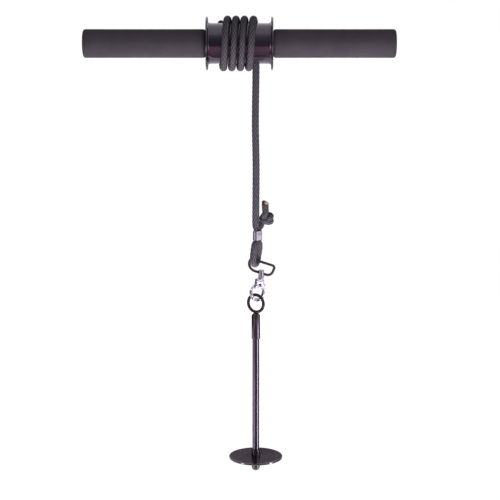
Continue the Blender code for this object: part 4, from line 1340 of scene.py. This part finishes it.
def make_sleeve(paint, top):
    """The sleeve round the rod's top."""
    rings = top_edge(SLEEVE_R, -SLEEVE_DOWN, SLEEVE_EDGE)
    rings += bottom_edge(SLEEVE_R, -SLEEVE_DOWN - SLEEVE_L, SLEEVE_EDGE)
    rings += [(ON_ROD_R, -SLEEVE_DOWN - SLEEVE_L), (ON_ROD_R, -SLEEVE_DOWN)]
    sleeve = drawn_out("sleeve_turned", rings, axis_place(top, UP), steps=96, bored=True)
    dress(smooth(sleeve), paint, "black_paint", "loading_pin", "pin_sleeve")


def make_collar(shaded_collar_paint, top):
    """The collar that stands in the disc's seat, in a dull, darker copy of the black paint: painted shade for
    the dark surroundings that it reflects.
    """
    _, face = node_heights("base_disc", top)
    foot = face - DISC_SEAT_DEEP + SEAT
    rings = top_edge(SLEEVE_R, foot + COLLAR_L, SLEEVE_EDGE)
    rings += [(SLEEVE_R, foot), (ON_ROD_R, foot), (ON_ROD_R, foot + COLLAR_L)]
    collar = drawn_out("collar_turned", rings, axis_place(top, UP), steps=96, bored=True)
    dress(smooth(collar), shaded_collar_paint, "black_paint", "loading_pin", "pin_collar")


def make_disc(paint, top):
    """The disc, with a shallow seat in each face."""
    _, face = node_heights("base_disc", top)
    below = face - DISC_T
    seat, inner, outer = DISC_SEAT_R, DISC_R - 12 * MM, DISC_R - 2 * MM
    rings = [(ON_ROD_R, face - DISC_SEAT_DEEP), (seat, face - DISC_SEAT_DEEP), (seat, face)]
    rings += [(inner, face), (outer, face)]
    rings += top_edge(DISC_R, face, DISC_EDGE) + bottom_edge(DISC_R, below, DISC_EDGE)
    rings += [(outer, below), (inner, below), (seat, below)]
    rings += [(seat, below + DISC_SEAT_DEEP), (ON_ROD_R, below + DISC_SEAT_DEEP)]
    disc = drawn_out("disc_pressed", rings, axis_place(top, UP), steps=192, bored=True)
    dress(smooth(disc, 40), paint, "black_paint", "loading_pin", "base_disc")


def make_cap(paint, top):
    """The domed cap under the disc, hollow for the rod's end."""
    cap_end, cap_top = node_heights("end_cap", top)
    rings = top_edge(CAP_R, cap_top, CAP_EDGE, 4)
    rings += arc((0, cap_end + CAP_R), CAP_R, 0, -86, 14) + [(0.2 * MM, cap_end)]
    cap = drawn_out("cap_domed", rings, axis_place(top, UP), steps=96)
    hollow = Vector((top.x, top.y, top.z + cap_top - CAP_HOLLOW / 2 + MM))
    cut(cap, round_cutter(hollow, UP, ROD_R + CAP_CLEAR, CAP_HOLLOW + 2 * MM))
    dress(smooth(cap), paint, "black_paint", "loading_pin", "end_cap")


# The whole trainer


def make_finishes():
    """All materials, by name."""
    grain, handling = grain_group(), handling_group()
    finish = {"foam": foam_material(grain)}
    for name, low, high, roughness, peel, wear, shine in (
        ("gloss_black", (0.012, 0.009, 0.011), (0.020, 0.015, 0.018), 0.16, 0.1, 0.7, 0.75),
        ("pin_black", (0.016, 0.012, 0.014), (0.020, 0.015, 0.018), 0.08, 0.02, 0.2, 0.75),
        ("disc_black", (0.016, 0.012, 0.014), (0.020, 0.015, 0.018), 0.15, 0.02, 0.2, 0.75),
        # the collar's copy of the black paint, darker and rougher: painted shade for the dark surroundings it
        # reflects
        ("collar_black_painted_shade", (0.005, 0.004, 0.005), (0.008, 0.006, 0.008), 0.6, 0.2, 0.7, 0.25),
    ):
        finish[name] = paint_material(name, handling, grain, low, high, roughness, peel, wear, shine)
    for name, low, high, metallic in (
        ("black_plated_wire", (0.036, 0.025, 0.032), (0.075, 0.058, 0.070), 0.55),
        ("black_ring_wire", (0.014, 0.010, 0.011), (0.030, 0.022, 0.024), 0.3),
    ):
        finish[name] = wire_material(name, handling, grain, low, high, metallic)
    for name, tint, roughness, wave in (
        ("bright_plate", (0.72, 0.69, 0.77), 0.24, 0.05),
        ("bright_cast", (0.70, 0.68, 0.75), 0.44, 0.04),
    ):
        finish[name] = plated_material(name, handling, grain, tint, roughness, wave)
    finish["rope"] = rope_material(grain)
    finish["core"] = core_material(grain)
    finish["plastic"] = plastic_material(grain)
    return finish


def make_trainer(finish, joints):
    """All pieces, at the places that the joints give."""
    paint, wire = finish["gloss_black"], finish["black_plated_wire"]
    plated, cast = finish["bright_plate"], finish["bright_cast"]
    make_tube(paint)
    for side, word in SIDES:
        make_grip(finish["foam"], side, word)
        make_plug(finish["plastic"], side, word)
    make_drum(paint)
    for side, word in SIDES:
        make_flange(paint, side, word)

    crossing = Vector(joints["loop_swing"]["pos_m"])
    make_rope(finish["rope"], finish["core"], crossing)
    make_stop(plated)
    make_clip(plated)

    right = Vector(joints["loop_swing"]["axis"])
    eye = Vector(joints["eye_tilt"]["pos_m"])
    corner = crossing - right * ROPE_ON_LOOP
    reach = eye - corner
    down = (reach - right * reach.dot(right)).normalized()
    make_wire_loop(wire, corner, right, down)
    make_eye(plated, eye, right)
    make_rivet(plated, eye)

    pivot = Vector(joints["gate_open"]["pos_m"])
    outward = Vector(joints["gate_open"]["axis"])
    turn = Matrix((UP.cross(outward), UP, outward)).transposed().to_4x4()
    frame = Matrix.Translation(eye - UP * (EYE_BELOW + SEAT)) @ turn
    make_hook_body(cast, frame, outward, pivot)
    make_gate(cast, frame, outward, pivot)
    make_gate_pin(wire, outward, pivot)
    make_gate_spring(cast, frame)

    centre = Vector(joints["pin_swing"]["pos_m"]) - UP * RING_R
    top = centre - UP * (RING_R + RING_WIRE_R + SEAT)
    make_pin_ring(finish["black_ring_wire"], centre)
    make_rod(finish["pin_black"], top)
    make_sleeve(finish["pin_black"], top)
    make_collar(finish["collar_black_painted_shade"], top)
    make_disc(finish["disc_black"], top)
    make_cap(finish["pin_black"], top)


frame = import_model()
bpy.context.scene.view_settings.view_transform = "Standard"
make_camera()
make_floor()
make_world()
make_cards()
make_lamps()
make_trainer(make_finishes(), {joint["name"]: joint for joint in frame["record"]["behaviour"]["joints"]})
